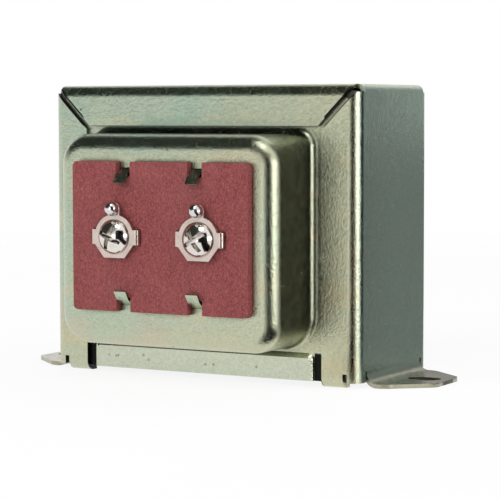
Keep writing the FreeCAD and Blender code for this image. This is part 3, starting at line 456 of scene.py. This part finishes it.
# Painted shade in the metals' recesses and where pieces meet: its colour and reach, then its stops and
# strength
METAL_NOOK_SHADE, METAL_CREVICE = (0.05, 0.045, 0.04), 0.8 * MM
METAL_NOOK_SHADE_STOPS, METAL_NOOK_SHADE_SHARE = (0.25, 0.70), 0.85

# Each insulator's colour, shade, roughness and size of mottle in millimetres
INSULATORS = {
    "black_nylon": ((0.030, 0.030, 0.032), (0.018, 0.018, 0.019), 0.40, 1.2),
    "natural_nylon": ((0.78, 0.75, 0.66), (0.68, 0.64, 0.54), 0.5, 3.0),
    "coil_tape": ((0.68, 0.52, 0.14), (0.54, 0.38, 0.08), 0.35, 2.0),
    "pressed_card": ((0.30, 0.32, 0.32), (0.22, 0.23, 0.23), 0.8, 1.0),
}
VARNISH_THICK, VARNISH_THIN = (0.10, 0.085, 0.07), (0.24, 0.23, 0.22)
SHEET_GAP, SHEET_BAND = (0.03, 0.028, 0.026), 3.1416 * MM
WIRE_GAP, WIRE_TOP, WIRE_BAND = (0.20, 0.05, 0.02), (0.62, 0.24, 0.10), 1.885 * MM


def red_fibre(name):
    """Vulcanised fibre: brick red, with dark fibres, pale flecks, pits and a dusty bloom."""
    look = settings("board")
    material, tree, shader = new_material(name, Specular_IOR_Level=0.3)
    point = object_point(tree)
    upright = object_point(tree, (1.5, 1.2, 0.8))
    fibre = noise_of(tree, upright, look.fleck * 1.1, detail=4.0, roughness=0.7)
    fleck = noise_of(tree, point, look.fleck, detail=2.0, roughness=0.7)
    pit = noise_of(tree, point, look.fleck * 0.8, detail=2.0, roughness=0.7)
    dust = noise_of(tree, point, look.dust, roughness=0.6)
    colour = mix(tree, spread(tree, fibre, 0.35, 0.65), look.dark, look.colour)
    colour = mix(tree, spread(tree, fleck, 0.56, 0.72, end=0.55), colour, look.pale)
    colour = mix(tree, spread(tree, pit, 0.32, 0.46, start=0.85, end=0), colour, look.pit)
    colour = mix(tree, spread(tree, dust, 0.42, 0.75, start=0.02, end=0.14), colour, look.bloom)
    paint(tree, shader, colour, spread(tree, fibre, 0.3, 0.7, start=0.78, end=0.58))
    bump(tree, shader, [(dust, 0.3, 0.08 * MM), (fibre, 0.7, 0.06 * MM), (fleck, 0.6, 0.05 * MM)])
    return material


def bright_metal(name):
    """Tin, nickel, solder or zinc: bright metal with a faint stain, fine scratches and painted shade in
    its recesses.
    """
    colour, stain, roughness, scratch = METALS[name]
    material, tree, shader = new_material(name, Metallic=1.0)
    cloud = noise_of(tree, object_point(tree), 2.2 * MM, roughness=0.6)
    tint = mix(tree, spread(tree, cloud, 0.42, 0.72, end=0.6), colour, stain)
    # Painted shade in recesses, such as a screw's cross, and where a head meets its plate
    tint = corner_shade(tree, tint, METAL_CREVICE, METAL_NOOK_SHADE_STOPS, METAL_NOOK_SHADE_SHARE, METAL_NOOK_SHADE)
    drawn_out = object_point(tree, (1, 1, 0.12), (0, 0.5, 0))
    lines = noise_of(tree, drawn_out, 0.16 * MM, roughness=0.6)
    paint(tree, shader, tint, spread(tree, lines, 0.35, 0.7, roughness, roughness + 0.12))
    bump(tree, shader, [(cloud, 0.25, 0.03 * MM), (lines, scratch, 0.006 * MM)])
    return material


def dull_insulator(name):
    """A moulded or pressed insulator with a faint mottle."""
    colour, shade, roughness, size = INSULATORS[name]
    material, tree, shader = new_material(name)
    mottle = noise_of(tree, object_point(tree), size * MM, detail=4.0, roughness=0.6)
    tint = mix(tree, spread(tree, mottle, 0.35, 0.7), shade, colour)
    paint(tree, shader, tint, spread(tree, mottle, 0.3, 0.7, roughness + 0.05, roughness - 0.05))
    bump(tree, shader, [(mottle, 0.3, 0.03 * MM)])
    return material


def laminated_steel(name):
    """The edges of stacked laminations under brown varnish, in bands about six sheets wide."""
    material, tree, shader = new_material(name, Metallic=0.55)
    sheets = bands_of(tree, SHEET_BAND, 0.6, "Y")
    stain = noise_of(tree, object_point(tree), 6 * MM, detail=4.0, roughness=0.6)
    colour = mix(tree, spread(tree, stain, 0.3, 0.7), VARNISH_THICK, VARNISH_THIN)
    colour = mix(tree, spread(tree, sheets, 0.2, 0.6, start=0.7, end=0), colour, SHEET_GAP)
    paint(tree, shader, colour, spread(tree, stain, 0.3, 0.7, start=0.35, end=0.6))
    bump(tree, shader, [(sheets, 0.5, 0.05 * MM)])
    return material


def wound_copper(name):
    """Enamelled wire, in bands that are a few turns wide."""
    material, tree, shader = new_material(name, Metallic=0.9, Roughness=0.3, Coat_Weight=0.5)
    wires = bands_of(tree, WIRE_BAND, 0.4, "Z")
    paint(tree, shader, mix(tree, wires, WIRE_GAP, WIRE_TOP))
    bump(tree, shader, [(wires, 0.8, 0.1 * MM)])
    return material


# Shapes

MERGE = 1e-7
FLAT_LIMIT = math.radians(0.4)

# The worn edges of copied pieces, and the angle in degrees past which a cover's edges are sharp
STRAP_EDGE, PLATE_EDGE, NUT_EDGE = 0.14 * MM, 0.1 * MM, 0.25 * MM
FRONT_ANGLE, REAR_ANGLE = 35, 50


def new_object(name, data):
    """An object in the scene that holds a mesh, a lamp or a camera."""
    made = bpy.data.objects.new(name, data)
    bpy.context.scene.collection.objects.link(made)
    return made


def mesh_piece(name, shape):
    """A new object from a bmesh, its doubles merged and its normals pointing out."""
    bmesh.ops.remove_doubles(shape, verts=shape.verts, dist=MERGE)
    bmesh.ops.recalc_face_normals(shape, faces=shape.faces)
    mesh = bpy.data.meshes.new(name)
    shape.to_mesh(mesh)
    shape.free()
    return new_object(name, mesh)


def finish_piece(obj, material, replaced):
    """Rides a piece on the root body, with its material and the node it replaces."""
    obj.data.materials.clear()
    obj.data.materials.append(material)
    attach(obj, "root")
    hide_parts(replaced)


def smooth(obj, angle):
    """Smooth shading, with edges sharp past an angle in degrees."""
    shape = bmesh.new()
    shape.from_mesh(obj.data)
    for face in shape.faces:
        face.smooth = True
    for edge in shape.edges:
        edge.smooth = len(edge.link_faces) == 2 and edge.calc_face_angle(0) < math.radians(angle)
    shape.to_mesh(obj.data)
    shape.free()
    return obj


def soften(obj, width, angle=30):
    """Breaks the sharp edges with a small bevel, and keeps the flats flat."""
    if width:
        edge = obj.modifiers.new("Edges", "BEVEL")
        edge.width, edge.segments = width, 2
        edge.limit_method, edge.angle_limit = "ANGLE", math.radians(angle)
    flat = obj.modifiers.new("Flats", "WEIGHTED_NORMAL")
    flat.keep_sharp = True
    return obj


def copy_of(node_name, name, width, angle=30, reshape=None):
    """A merged copy of a CAD node's mesh, reshaped where asked, with softened edges."""
    source = bmesh.new()
    source.from_mesh(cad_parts[node_name].data)
    bmesh.ops.remove_doubles(source, verts=source.verts, dist=MERGE)
    bmesh.ops.dissolve_limit(source, angle_limit=FLAT_LIMIT, verts=source.verts, edges=source.edges)
    if reshape:
        reshape(source)
    mesh = bpy.data.meshes.new(name)
    source.to_mesh(mesh)
    source.free()
    return soften(smooth(new_object(name, mesh), angle), width, angle)


# The front cover's bends

# The dome's outline and corners, the planes of its face and of the rim, the bends as the solid has
# them now and as they are made new, low for the lower side, the rail's upper edge, and the
# board behind the tongues
DOME_MIDDLE = 27.6 * MM
DOME_HALF = (24.1 * MM, 20.4 * MM)
DOME_CORNER, ROOT_CORNER = 6.0 * MM, 2.6 * MM
DOME_FACE, RIM_FACE = -29.7 * MM, -15.0 * MM
EDGE_NOW, EDGE_NEW = 2.2 * MM, 3.2 * MM
ROOT_NOW, ROOT_NEW, ROOT_LOW = 0.469 * MM, 1.4 * MM, 0.8 * MM
ROOT_CUTS = 5
RAIL_TOP, RAIL_EDGE, RAIL_DROP = 6.35 * MM, 0.6 * MM, 0.7 * MM
RAIL_FRONT = RIM_FACE - 0.3 * MM
BOARD_MIDDLE, BOARD_FRONT = 28.5 * MM, -31.3 * MM
NEAR = 0.02 * MM

# The points of a tongue's tip, as height from the board's middle and place along Y in millimetres,
# and where each goes
TONGUE_MOVES = {
    (10.4, -31.95): (10.37, -32.67), (10.4, -31.45): (10.1, -32.25),
    (11.85, -31.85): (11.95, -31.65), (11.5, -31.35): (11.5, -31.35),
}


def dome_place(point):
    """How far a point lies outside the dome's outline, and the way out."""
    side = Vector((abs(point.x), abs(point.z - DOME_MIDDLE)))
    beyond = side - Vector(DOME_HALF) + Vector((DOME_CORNER, DOME_CORNER))
    if min(beyond) > 0:
        out, way = beyond.length - DOME_CORNER, beyond.normalized()
    elif beyond.x > beyond.y:
        out, way = beyond.x - DOME_CORNER, Vector((1, 0))
    else:
        out, way = beyond.y - DOME_CORNER, Vector((0, 1))
    signs = (math.copysign(1, point.x), math.copysign(1, point.z - DOME_MIDDLE))
    return out, Vector((way.x * signs[0], 0, way.y * signs[1]))


def is_within(value, most):
    """Whether a length lies between nothing and another, or very near."""
    return -NEAR <= value <= most + NEAR


def round_front(shape):
    """Widens the front dome's bends, lifts the tips of its tongues and lowers the rail's edge."""
    cross = [edge for edge in shape.edges if is_root_cross(edge)]
    bmesh.ops.subdivide_edges(shape, edges=cross, cuts=ROOT_CUTS, use_grid_fill=True)
    for vertex in shape.verts:
        out, way = dome_place(vertex.co)
        depth, rise = vertex.co.y - DOME_FACE, RIM_FACE - vertex.co.y
        if is_within(depth, EDGE_NOW) and is_within(-out, EDGE_NOW):
            widen_edge(vertex, out, way, depth)
        elif is_within(out, ROOT_NOW) and is_within(rise, ROOT_NOW):
            widen_root(vertex, out, way)
        elif vertex.co.y < BOARD_FRONT:
            lift_tongue(vertex)
        if vertex.co.y < RAIL_FRONT and RAIL_TOP - RAIL_EDGE < vertex.co.z < RAIL_TOP + NEAR:
            vertex.co.z -= RAIL_DROP


def is_root_cross(edge):
    """Whether an edge crosses the chamfer at the dome's root."""
    outs = [dome_place(vertex.co)[0] for vertex in edge.verts]
    rises = [RIM_FACE - vertex.co.y for vertex in edge.verts]
    whole = all(abs(abs(first - second) - ROOT_NOW) < NEAR for first, second in (outs, rises))
    return whole and all(is_within(out, ROOT_NOW) for out in outs)


def widen_edge(vertex, out, way, depth):
    """Moves a point of the bend round the dome's face on to the wider bend."""
    corner = Vector((EDGE_NOW + out, EDGE_NOW - depth))
    reach = corner.length
    if reach > NEAR:
        grown = corner * ((reach + EDGE_NEW - EDGE_NOW) / reach)
        vertex.co += way * (-(EDGE_NEW - grown.x) - out)
        vertex.co.y = DOME_FACE + EDGE_NEW - grown.y


def widen_root(vertex, out, way):
    """Moves a point of the dome's root on to a wider fillet, and tightens the upper corners."""
    turn = out / ROOT_NOW * math.pi / 2
    size = ROOT_NEW if way.z >= 0 else ROOT_NEW + (ROOT_LOW - ROOT_NEW) * -way.z
    vertex.co += way * (size * (1 - math.cos(turn)) - out)
    vertex.co.y = RIM_FACE - size * (1 - math.sin(turn))
    if 0 < way.z < 1 or (way.z == 1 and abs(vertex.co.x) > DOME_HALF[0] - DOME_CORNER - NEAR):
        tighten = DOME_CORNER - ROOT_CORNER
        vertex.co.x += math.copysign(tighten * (1 - abs(way.x)), vertex.co.x)
        vertex.co.z += tighten * (1 - way.z)


def lift_tongue(vertex):
    """Lifts a tongue's tip off the board."""
    side = math.copysign(1, vertex.co.z - BOARD_MIDDLE)
    place = (round(abs(vertex.co.z - BOARD_MIDDLE) / MM, 2), round(vertex.co.y / MM, 2))
    if place in TONGUE_MOVES:
        height, depth = TONGUE_MOVES[place]
        vertex.co.y = depth * MM
        vertex.co.z = BOARD_MIDDLE + side * height * MM


# Turned pieces

# One ridge of a thread: how deep each point is sunk, and where it lies along the pitch
RIDGE = ((1, 0.15), (0, 0.42), (0, 0.58), (1, 0.85))

# The steps round each turned piece, and the angle in degrees past which its edges are sharp
SCREW_STEPS, SCREW_ANGLE = 64, 32
BEAD_STEPS, BEAD_ANGLE = 40, 60
NIPPLE_STEPS, NIPPLE_ANGLE = 96, 28
BUSHING_STEPS, BUSHING_ANGLE = 80, 40

# The screw's tip as a share of its shank, the plain run behind the tip, and the worn edge
TIP_SHARE, TIP_RUN, SCREW_EDGE = 0.7, 0.2 * MM, 0.06 * MM

# How far in front of its lug a ball of solder is lumpy
LUMP_START, LUMP_END = 0.1 * MM, 2.1 * MM

# How far from the collar and the mouth the nipple's thread ends, and the chamfer of the mouth
THREAD_START, THREAD_END, MOUTH_EDGE = 0.3 * MM, 0.6 * MM, 0.7 * MM


def box_of(node_name):
    """The lowest corner, the highest corner and the middle of a CAD node."""
    low, high = (Vector(corner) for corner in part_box(node_name))
    return low, high, (low + high) / 2


def lathe(name, outline, middle, steps):
    """A turned piece about an axis along Y, from an outline of radius and place along Y."""
    shape = bmesh.new()
    corners = [shape.verts.new((middle.x + radius, place, middle.z)) for radius, place in outline]
    closed = min(radius for radius, _ in outline) > 0
    for start, end in zip(corners, corners[1:] + (corners[:1] if closed else [])):
        shape.edges.new((start, end))
    bmesh.ops.spin(
        shape, geom=shape.verts[:] + shape.edges[:], cent=(middle.x, 0, middle.z), axis=(0, 1, 0),
        angle=math.tau, steps=steps, use_merge=True)
    return mesh_piece(name, shape)


def arc(centre, size, start, end, count):
    """Points along part of an ellipse, its angles in degrees."""
    angles = [math.radians(start + (end - start) * step / count) for step in range(count + 1)]
    return [(centre[0] + size[0] * math.cos(a), centre[1] + size[1] * math.sin(a)) for a in angles]


def ridges(radius, depth, pitch, start, end):
    """The outline of a thread, from one place along the axis to another."""
    count = max(2, int(abs(end - start) / pitch))
    step = (end - start) / count
    return [(radius - depth * sunk, start + step * (turn + share))
            for turn in range(count) for sunk, share in RIDGE]


def recess_arm(turn, head, top, look):
    """One tapered arm of a cross recess, as a cutter."""
    shape = bmesh.new()
    bmesh.ops.create_cube(shape, size=1.0)
    for corner in shape.verts:
        inner = corner.co.y > 0
        corner.co.x *= look.span * (look.span_taper if inner else 1.0)
        corner.co.z *= look.slot * (look.slot_taper if inner else 1.0)
        corner.co.y = top + look.depth if inner else top - look.depth
    bmesh.ops.rotate(shape, verts=shape.verts, cent=(0, 0, 0), matrix=Matrix.Rotation(turn, 3, "Y"))
    bmesh.ops.translate(shape, verts=shape.verts, vec=(head.x, 0, head.z))
    return mesh_piece("recess_arm", shape)


def carve(obj, cutters):
    """Cuts the cutters out of a piece and removes them."""
    for cutter in cutters:
        step = obj.modifiers.new("Recess", "BOOLEAN")
        step.object, step.solver = cutter, "EXACT"
    bpy.context.view_layer.update()
    graph = bpy.context.evaluated_depsgraph_get()
    mesh = bpy.data.meshes.new_from_object(obj.evaluated_get(graph))
    obj.modifiers.clear()
    obj.data = mesh
    for cutter in cutters:
        bpy.data.objects.remove(cutter)
    return obj


def build_screw(side):
    """A pan head screw with a domed crown, a cross recess and a thread."""
    look = settings("screw")
    low, high, middle = box_of(f"terminal_screw_{side}")
    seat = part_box(f"terminal_{side}")[0][1]
    radius, rise = (high.x - low.x) / 2, seat - look.wall - low.y
    curve = (radius * radius + rise * rise) / (2 * rise)
    slope = math.degrees(math.asin(radius / curve))
    crown = arc((0, low.y + curve), (curve, curve), slope - 90, -90, 14)
    outline = [(0, high.y), (look.shank * TIP_SHARE, high.y)]
    outline += ridges(look.shank, look.ridge, look.pitch, high.y - TIP_RUN, seat)
    outline += [(look.shank, seat), (radius - look.edge, seat), (radius, seat - look.edge)]
    outline += [*crown[:-1], (0, low.y)]
    head = lathe(f"pan_head_screw_{side}", outline, middle, SCREW_STEPS)
    turn = getattr(look, f"turn_{side}")
    arms = [recess_arm(-turn + quarter, middle, low.y, look) for quarter in (0, math.pi / 2)]
    return soften(smooth(carve(head, arms), SCREW_ANGLE), SCREW_EDGE, SCREW_ANGLE)


def build_solder(side):
    """An uneven ball of solder that has run down on to its lug."""
    look = settings("solder")
    low, high, middle = box_of(f"solder_joint_{side}")
    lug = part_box(f"terminal_{side}")[0][1]
    ball, centre = ((high.x - low.x) / 2, look.bulge), lug - look.lift
    curve = arc((0, centre), ball, math.degrees(look.flow), -90, 20)
    outline = [(0, high.y), *curve[:-1], (0, centre - look.bulge)]
    bead = lathe(f"solder_bead_{side}", outline, middle, BEAD_STEPS)
    for corner in bead.data.vertices:
        away = corner.co - Vector((middle.x, centre, middle.z))
        if away.length > 0 and lug - LUMP_END < corner.co.y < lug - LUMP_START:
            corner.co += away.normalized() * noise.noise(corner.co / look.lump_size) * look.lump
    return smooth(bead, BEAD_ANGLE)


def build_nipple():
    """The nipple: staked end, collar and thread, with a chamfered mouth."""
    look = settings("hub")
    low, high, middle = box_of("hub_nipple")
    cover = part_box("rear_cover")[1][1]
    collar, back = (high.x - low.x) / 2, cover + look.collar
    outline = [(look.bore, low.y), (look.thread, low.y), (look.thread, cover)]
    outline += [(collar - look.edge, cover), (collar, cover + look.edge)]
    outline += [(collar, back - look.edge), (collar - look.edge, back), (look.thread - look.ridge, back)]
    outline += ridges(look.thread, look.ridge, look.pitch, back + THREAD_START, high.y - THREAD_END)
    outline += [(look.thread - MOUTH_EDGE, high.y), (look.bore, high.y)]
    nipple = lathe("threaded_nipple", outline, middle, NIPPLE_STEPS)
    return soften(smooth(nipple, NIPPLE_ANGLE), 0)


def build_bushing():
    """The bushing: a tube with a round rim over the nipple's mouth."""
    look = settings("hub")
    low, high, middle = box_of("lead_bushing")
    mouth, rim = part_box("hub_nipple")[1][1], (high.x - low.x) / 2
    half = (high.y - mouth) / 2
    outline = [(look.lead_bore, low.y), (look.tube, low.y), (look.tube, mouth), (rim - half, mouth)]
    outline += arc((rim - half, mouth + half), (half, half), -90, 90, 8)[1:]
    outline += arc((look.lead_bore + half, mouth + half), (half, half), 90, 180, 5)
    bushing = lathe("round_rim_bushing", outline, middle, BUSHING_STEPS)
    return soften(smooth(bushing, BUSHING_ANGLE), 0)


# Stage, in metres

FLOOR_SPAN, FLOOR_GREY, FLOOR_GLOW = 6.0, (0.96, 0.96, 0.96), 0.88
SHADOW_REACH = 0.25
ROOM_DARK = (0.035, 0.04, 0.035)
DARK_WAY = (-0.612, -0.354, 0.707)
DARK_START, DARK_END = math.radians(42), math.radians(58)
EYE = Vector((0.1985, -0.3517, 0.0528))
AIM = Vector((0.00176, 0.00098, 0.0243))
ROLL = math.radians(-0.1)

# How bright each shade of card is
CARD_SHADES = {"dark_card": 0.0, "dim_card": 0.26, "bright_card": 1.9}

# Upright cards: the two ends of the foot, the height and the shade
CARDS = {
    "camera_side_card": ((0.030, -0.150), (0.119, -0.082), 0.13, "dark_card"),
    "rear_card": ((-0.09, 0.16), (0.06, 0.11), 0.045, "dim_card"),
    "bright_card": ((-0.020, -0.26), (0.105, -0.26), 0.10, "bright_card"),
    "side_card_near": ((0.060, -0.013), (0.060, 0.018), 0.16, "dark_card"),
    "side_card_far": ((0.060, 0.018), (0.060, 0.11), 0.16, "dim_card"),
}

# Cards that lie on the floor: the shade and the four corners
APRONS = {
    "camera_side_apron": ("dark_card", (
        (0.020, -0.036), (0.036, -0.018), (0.119, -0.082), (0.060, -0.135))),
    "side_apron": ("dim_card", (
        (0.035, 0.0125), (0.060, 0.0125), (0.060, 0.11), (0.035, 0.11))),
    "foot_apron": ("dim_card", (
        (0.0465, -0.013), (0.060, -0.013), (0.060, 0.0125), (0.0465, 0.0125))),
}
APRON_LIFT = 0.0004

# Lamps: the place, the width and height, and whether reflections show it
LAMPS = {
    "key": ((-0.55, -0.85, 0.65), (0.6, 0.6), False),
    "side": ((0.95, -0.25, 0.16), (0.5, 0.3), True),
    "top": ((0.17, -0.37, 0.91), (0.35, 0.35), True),
}


def add_floor():
    """A plain pale floor that shows white, and keeps a soft shadow near the object."""
    ground = bmesh.new()
    bmesh.ops.create_grid(ground, x_segments=1, y_segments=1, size=FLOOR_SPAN)
    floor = mesh_piece("floor", ground)
    material, tree, shader = new_material("pale_floor", Roughness=0.9, Base_Color=rgba(FLOOR_GREY))
    place = node(tree, "TexCoord").outputs["Object"]
    away = node(tree, "VectorMath", {0: place}, operation="LENGTH").outputs["Value"]
    glow_share = spread(tree, away, SHADOW_REACH, SHADOW_REACH * 2, FLOOR_GLOW, 1.0)
    light_path = node(tree, "LightPath").outputs
    seen = math_of(tree, "MAXIMUM", light_path["Is Camera Ray"], light_path["Is Glossy Ray"])
    seen = math_of(tree, "MAXIMUM", seen, light_path["Is Transmission Ray"])
    glow = node(tree, "Emission", {"Color": rgba(WHITE), "Strength": 1.0})
    share = math_of(tree, "MULTIPLY", seen, glow_share)
    blended = node(tree, "MixShader", {0: share, 1: shader.outputs[0], 2: glow.outputs[0]})
    tree.links.new(blended.outputs[0], tree.nodes["Material Output"].inputs["Surface"])
    floor.data.materials.append(material)
    floor.visible_shadow = False


def add_room():
    """A room that is white at the horizon and behind, and dark above the front."""
    world = bpy.data.worlds.new("pale_room")
    bpy.context.scene.world = world
    world.use_nodes = True
    tree = world.node_tree
    tree.nodes.clear()
    way = node(tree, "TexCoord").outputs["Generated"]
    parts = node(tree, "SeparateXYZ", {"Vector": way}).outputs
    above = spread(tree, parts["Z"], 0.10, 0.20)
    near = node(tree, "VectorMath", {0: way, 1: DARK_WAY}, operation="DOT_PRODUCT").outputs["Value"]
    dark = spread(tree, near, math.cos(DARK_END), math.cos(DARK_START))
    colour = mix(tree, math_of(tree, "MULTIPLY", above, dark), WHITE, ROOM_DARK)
    room = node(tree, "Background", {"Color": colour, "Strength": 1.0})
    output = node(tree, "OutputWorld")
    tree.links.new(room.outputs[0], output.inputs["Surface"])


def card_shade(name, level):
    """A plain grey card, as bright as it is written."""
    material = bpy.data.materials.new(name)
    material.use_nodes = True
    tree = material.node_tree
    tree.nodes.clear()
    glow = node(tree, "Emission", {"Color": rgba((level, level, level)), "Strength": 1.0})
    output = node(tree, "OutputMaterial")
    tree.links.new(glow.outputs[0], output.inputs["Surface"])
    return material


def add_card(name, start, end, height, shade):
    """An upright card that only shows in reflections, as a studio flag does."""
    sheet = bmesh.new()
    foot = [sheet.verts.new((*start, 0)), sheet.verts.new((*end, 0))]
    base = sheet.edges.new(foot)
    risen = bmesh.ops.extrude_edge_only(sheet, edges=[base])["geom"]
    top = [item for item in risen if isinstance(item, bmesh.types.BMVert)]
    bmesh.ops.translate(sheet, verts=top, vec=(0, 0, height))
    hide_card(mesh_piece(name, sheet), shade)


def add_apron(name, corners, shade):
    """A card that lies on the floor and only shows in reflections."""
    sheet = bmesh.new()
    sheet.faces.new([sheet.verts.new((*corner, APRON_LIFT)) for corner in corners])
    hide_card(mesh_piece(name, sheet), shade)


def hide_card(card, shade):
    """Leaves a card in view of reflections alone."""
    card.data.materials.append(shade)
    card.visible_camera = card.visible_diffuse = card.visible_shadow = False


def add_lamp(name, place, size, power, shows):
    """A rectangular soft lamp aimed at the object."""
    data = bpy.data.lights.new(name, "AREA")
    data.shape, data.energy = "RECTANGLE", power
    data.size, data.size_y = size
    lamp = new_object(name, data)
    lamp.location = place
    lamp.rotation_euler = (AIM - Vector(place)).to_track_quat("-Z", "Y").to_euler()
    lamp.visible_glossy = shows


def add_camera(focal):
    """The camera at the photograph's place."""
    data = bpy.data.cameras.new("camera")
    data.lens, data.sensor_width, data.sensor_fit = focal, 36.0, "HORIZONTAL"
    data.clip_start = 0.01
    camera = new_object("camera", data)
    turn = (AIM - EYE).to_track_quat("-Z", "Y").to_matrix().to_4x4()
    camera.matrix_world = Matrix.Translation(EYE) @ turn @ Matrix.Rotation(ROLL, 4, "Z")
    bpy.context.scene.camera = camera


# Operators


class TRANSFORMER_OT_strap(bpy.types.Operator):
    """Finish the folded strap with plated steel."""
    bl_idname = "transformer.strap"
    bl_label = "Strap"

    def execute(self, context):
        steel = plated_steel("strap_zinc", (0.3, 0.1, 0.7), 0.15)
        piece = copy_of("outer_strap", "folded_strap", STRAP_EDGE)
        finish_piece(piece, steel, "outer_strap")
        return {"FINISHED"}


class TRANSFORMER_OT_covers(bpy.types.Operator):
    """Finish the two drawn covers with plated steel."""
    bl_idname = "transformer.covers"
    bl_label = "Covers"

    def execute(self, context):
        steel = plated_steel("cover_zinc", (0.0, 0.5, 0.2), 0.0)
        for side, angle, reshape in (("front", FRONT_ANGLE, round_front), ("rear", REAR_ANGLE, None)):
            piece = copy_of(f"{side}_cover", f"drawn_cover_{side}", 0, angle, reshape)
            finish_piece(piece, steel, f"{side}_cover")
        return {"FINISHED"}


class TRANSFORMER_OT_board(bpy.types.Operator):
    """Finish the terminal board with red vulcanised fibre."""
    bl_idname = "transformer.board"
    bl_label = "Terminal board"

    def execute(self, context):
        piece = copy_of("terminal_board", "fibre_board", settings("board").edge)
        finish_piece(piece, red_fibre("vulcanised_fibre"), "terminal_board")
        return {"FINISHED"}


class TRANSFORMER_OT_terminals(bpy.types.Operator):
    """Add the terminal plates, the screws and the solder."""
    bl_idname = "transformer.terminals"
    bl_label = "Terminals"

    def execute(self, context):
        tin, nickel, solder = map(bright_metal, ("tinned_plate", "bright_nickel", "bright_solder"))
        for side in SIDES:
            plate = copy_of(f"terminal_{side}", f"terminal_plate_{side}", PLATE_EDGE)
            finish_piece(plate, tin, f"terminal_{side}")
            finish_piece(build_screw(side), nickel, f"terminal_screw_{side}")
            finish_piece(build_solder(side), solder, f"solder_joint_{side}")
        return {"FINISHED"}


class TRANSFORMER_OT_hub(bpy.types.Operator):
    """Add the threaded nipple, its locknut and its bushing."""
    bl_idname = "transformer.hub"
    bl_label = "Rear hub"

    def execute(self, context):
        zinc = bright_metal("bright_zinc")
        finish_piece(build_nipple(), zinc, "hub_nipple")
        nut = copy_of("hub_locknut", "lugged_locknut", NUT_EDGE)
        finish_piece(nut, zinc, "hub_locknut")
        finish_piece(build_bushing(), dull_insulator("black_nylon"), "lead_bushing")
        return {"FINISHED"}


class TRANSFORMER_OT_coil(bpy.types.Operator):
    """Finish the core and everything inside the covers."""
    bl_idname = "transformer.coil"
    bl_label = "Core and coil"

    def execute(self, context):
        steel = laminated_steel("varnished_laminations")
        copper = wound_copper("enamelled_copper")
        nylon, tape, card = map(dull_insulator, ("natural_nylon", "coil_tape", "pressed_card"))
        finishes = {
            "core_e_stack": steel, "core_i_stack": steel, "bobbin": nylon,
            "primary_winding": copper, "secondary_winding": copper,
            "primary_wrap": tape, "secondary_wrap": tape, "front_card": card, "rear_card": card,
            "secondary_lead_left": copper, "secondary_lead_right": copper,
        }
        for name, material in finishes.items():
            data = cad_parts[name].data
            data.materials.clear()
            data.materials.append(material)
        return {"FINISHED"}


class TRANSFORMER_OT_stage(bpy.types.Operator):
    """Add the floor, the room, the cards, the lamps and the camera."""
    bl_idname = "transformer.stage"
    bl_label = "Stage"

    def execute(self, context):
        look = settings("stage")
        add_floor()
        add_room()
        shades = {name: card_shade(name, level) for name, level in CARD_SHADES.items()}
        for name, (start, end, height, shade) in CARDS.items():
            add_card(name, start, end, height, shades[shade])
        for name, (shade, corners) in APRONS.items():
            add_apron(name, corners, shades[shade])
        for name, (place, size, shows) in LAMPS.items():
            add_lamp(f"{name}_lamp", place, size, getattr(look, name), shows)
        add_camera(look.focal)
        context.scene.view_settings.view_transform = "Standard"
        return {"FINISHED"}


# Panel and steps


class TRANSFORMER_PT_panel(bpy.types.Panel):
    """The transformer's steps in the sidebar."""
    bl_label = "Doorbell Transformer"
    bl_idname = "TRANSFORMER_PT_panel"
    bl_space_type = "VIEW_3D"
    bl_region_type = "UI"
    bl_category = "Transformer"

    def draw(self, context):
        for step in STEPS:
            self.layout.operator(step.bl_idname)


STEPS = (
    TRANSFORMER_OT_strap, TRANSFORMER_OT_covers, TRANSFORMER_OT_board, TRANSFORMER_OT_terminals,
    TRANSFORMER_OT_hub, TRANSFORMER_OT_coil, TRANSFORMER_OT_stage,
)
GROUPS = {
    "transformer_plating": PlatingSettings, "transformer_board": BoardSettings,
    "transformer_screw": ScrewSettings, "transformer_solder": SolderSettings,
    "transformer_hub": HubSettings, "transformer_stage": StageSettings,
}
CLASSES = (*GROUPS.values(), *STEPS, TRANSFORMER_PT_panel)


def register():
    """Registers the settings, the steps and the panel."""
    for kind in CLASSES:
        bpy.utils.register_class(kind)
    for name, group in GROUPS.items():
        setattr(bpy.types.Scene, name, bpy.props.PointerProperty(type=group))


def unregister():
    """Takes the settings, the steps and the panel away again."""
    for name in GROUPS:
        delattr(bpy.types.Scene, name)
    for kind in reversed(CLASSES):
        bpy.utils.unregister_class(kind)


def main():
    """Runs every step in order."""
    register()
    for step in STEPS:
        family, name = step.bl_idname.split(".")
        getattr(getattr(bpy.ops, family), name)()
    bpy.context.view_layer.update()


if __name__ == "__main__":
    main()
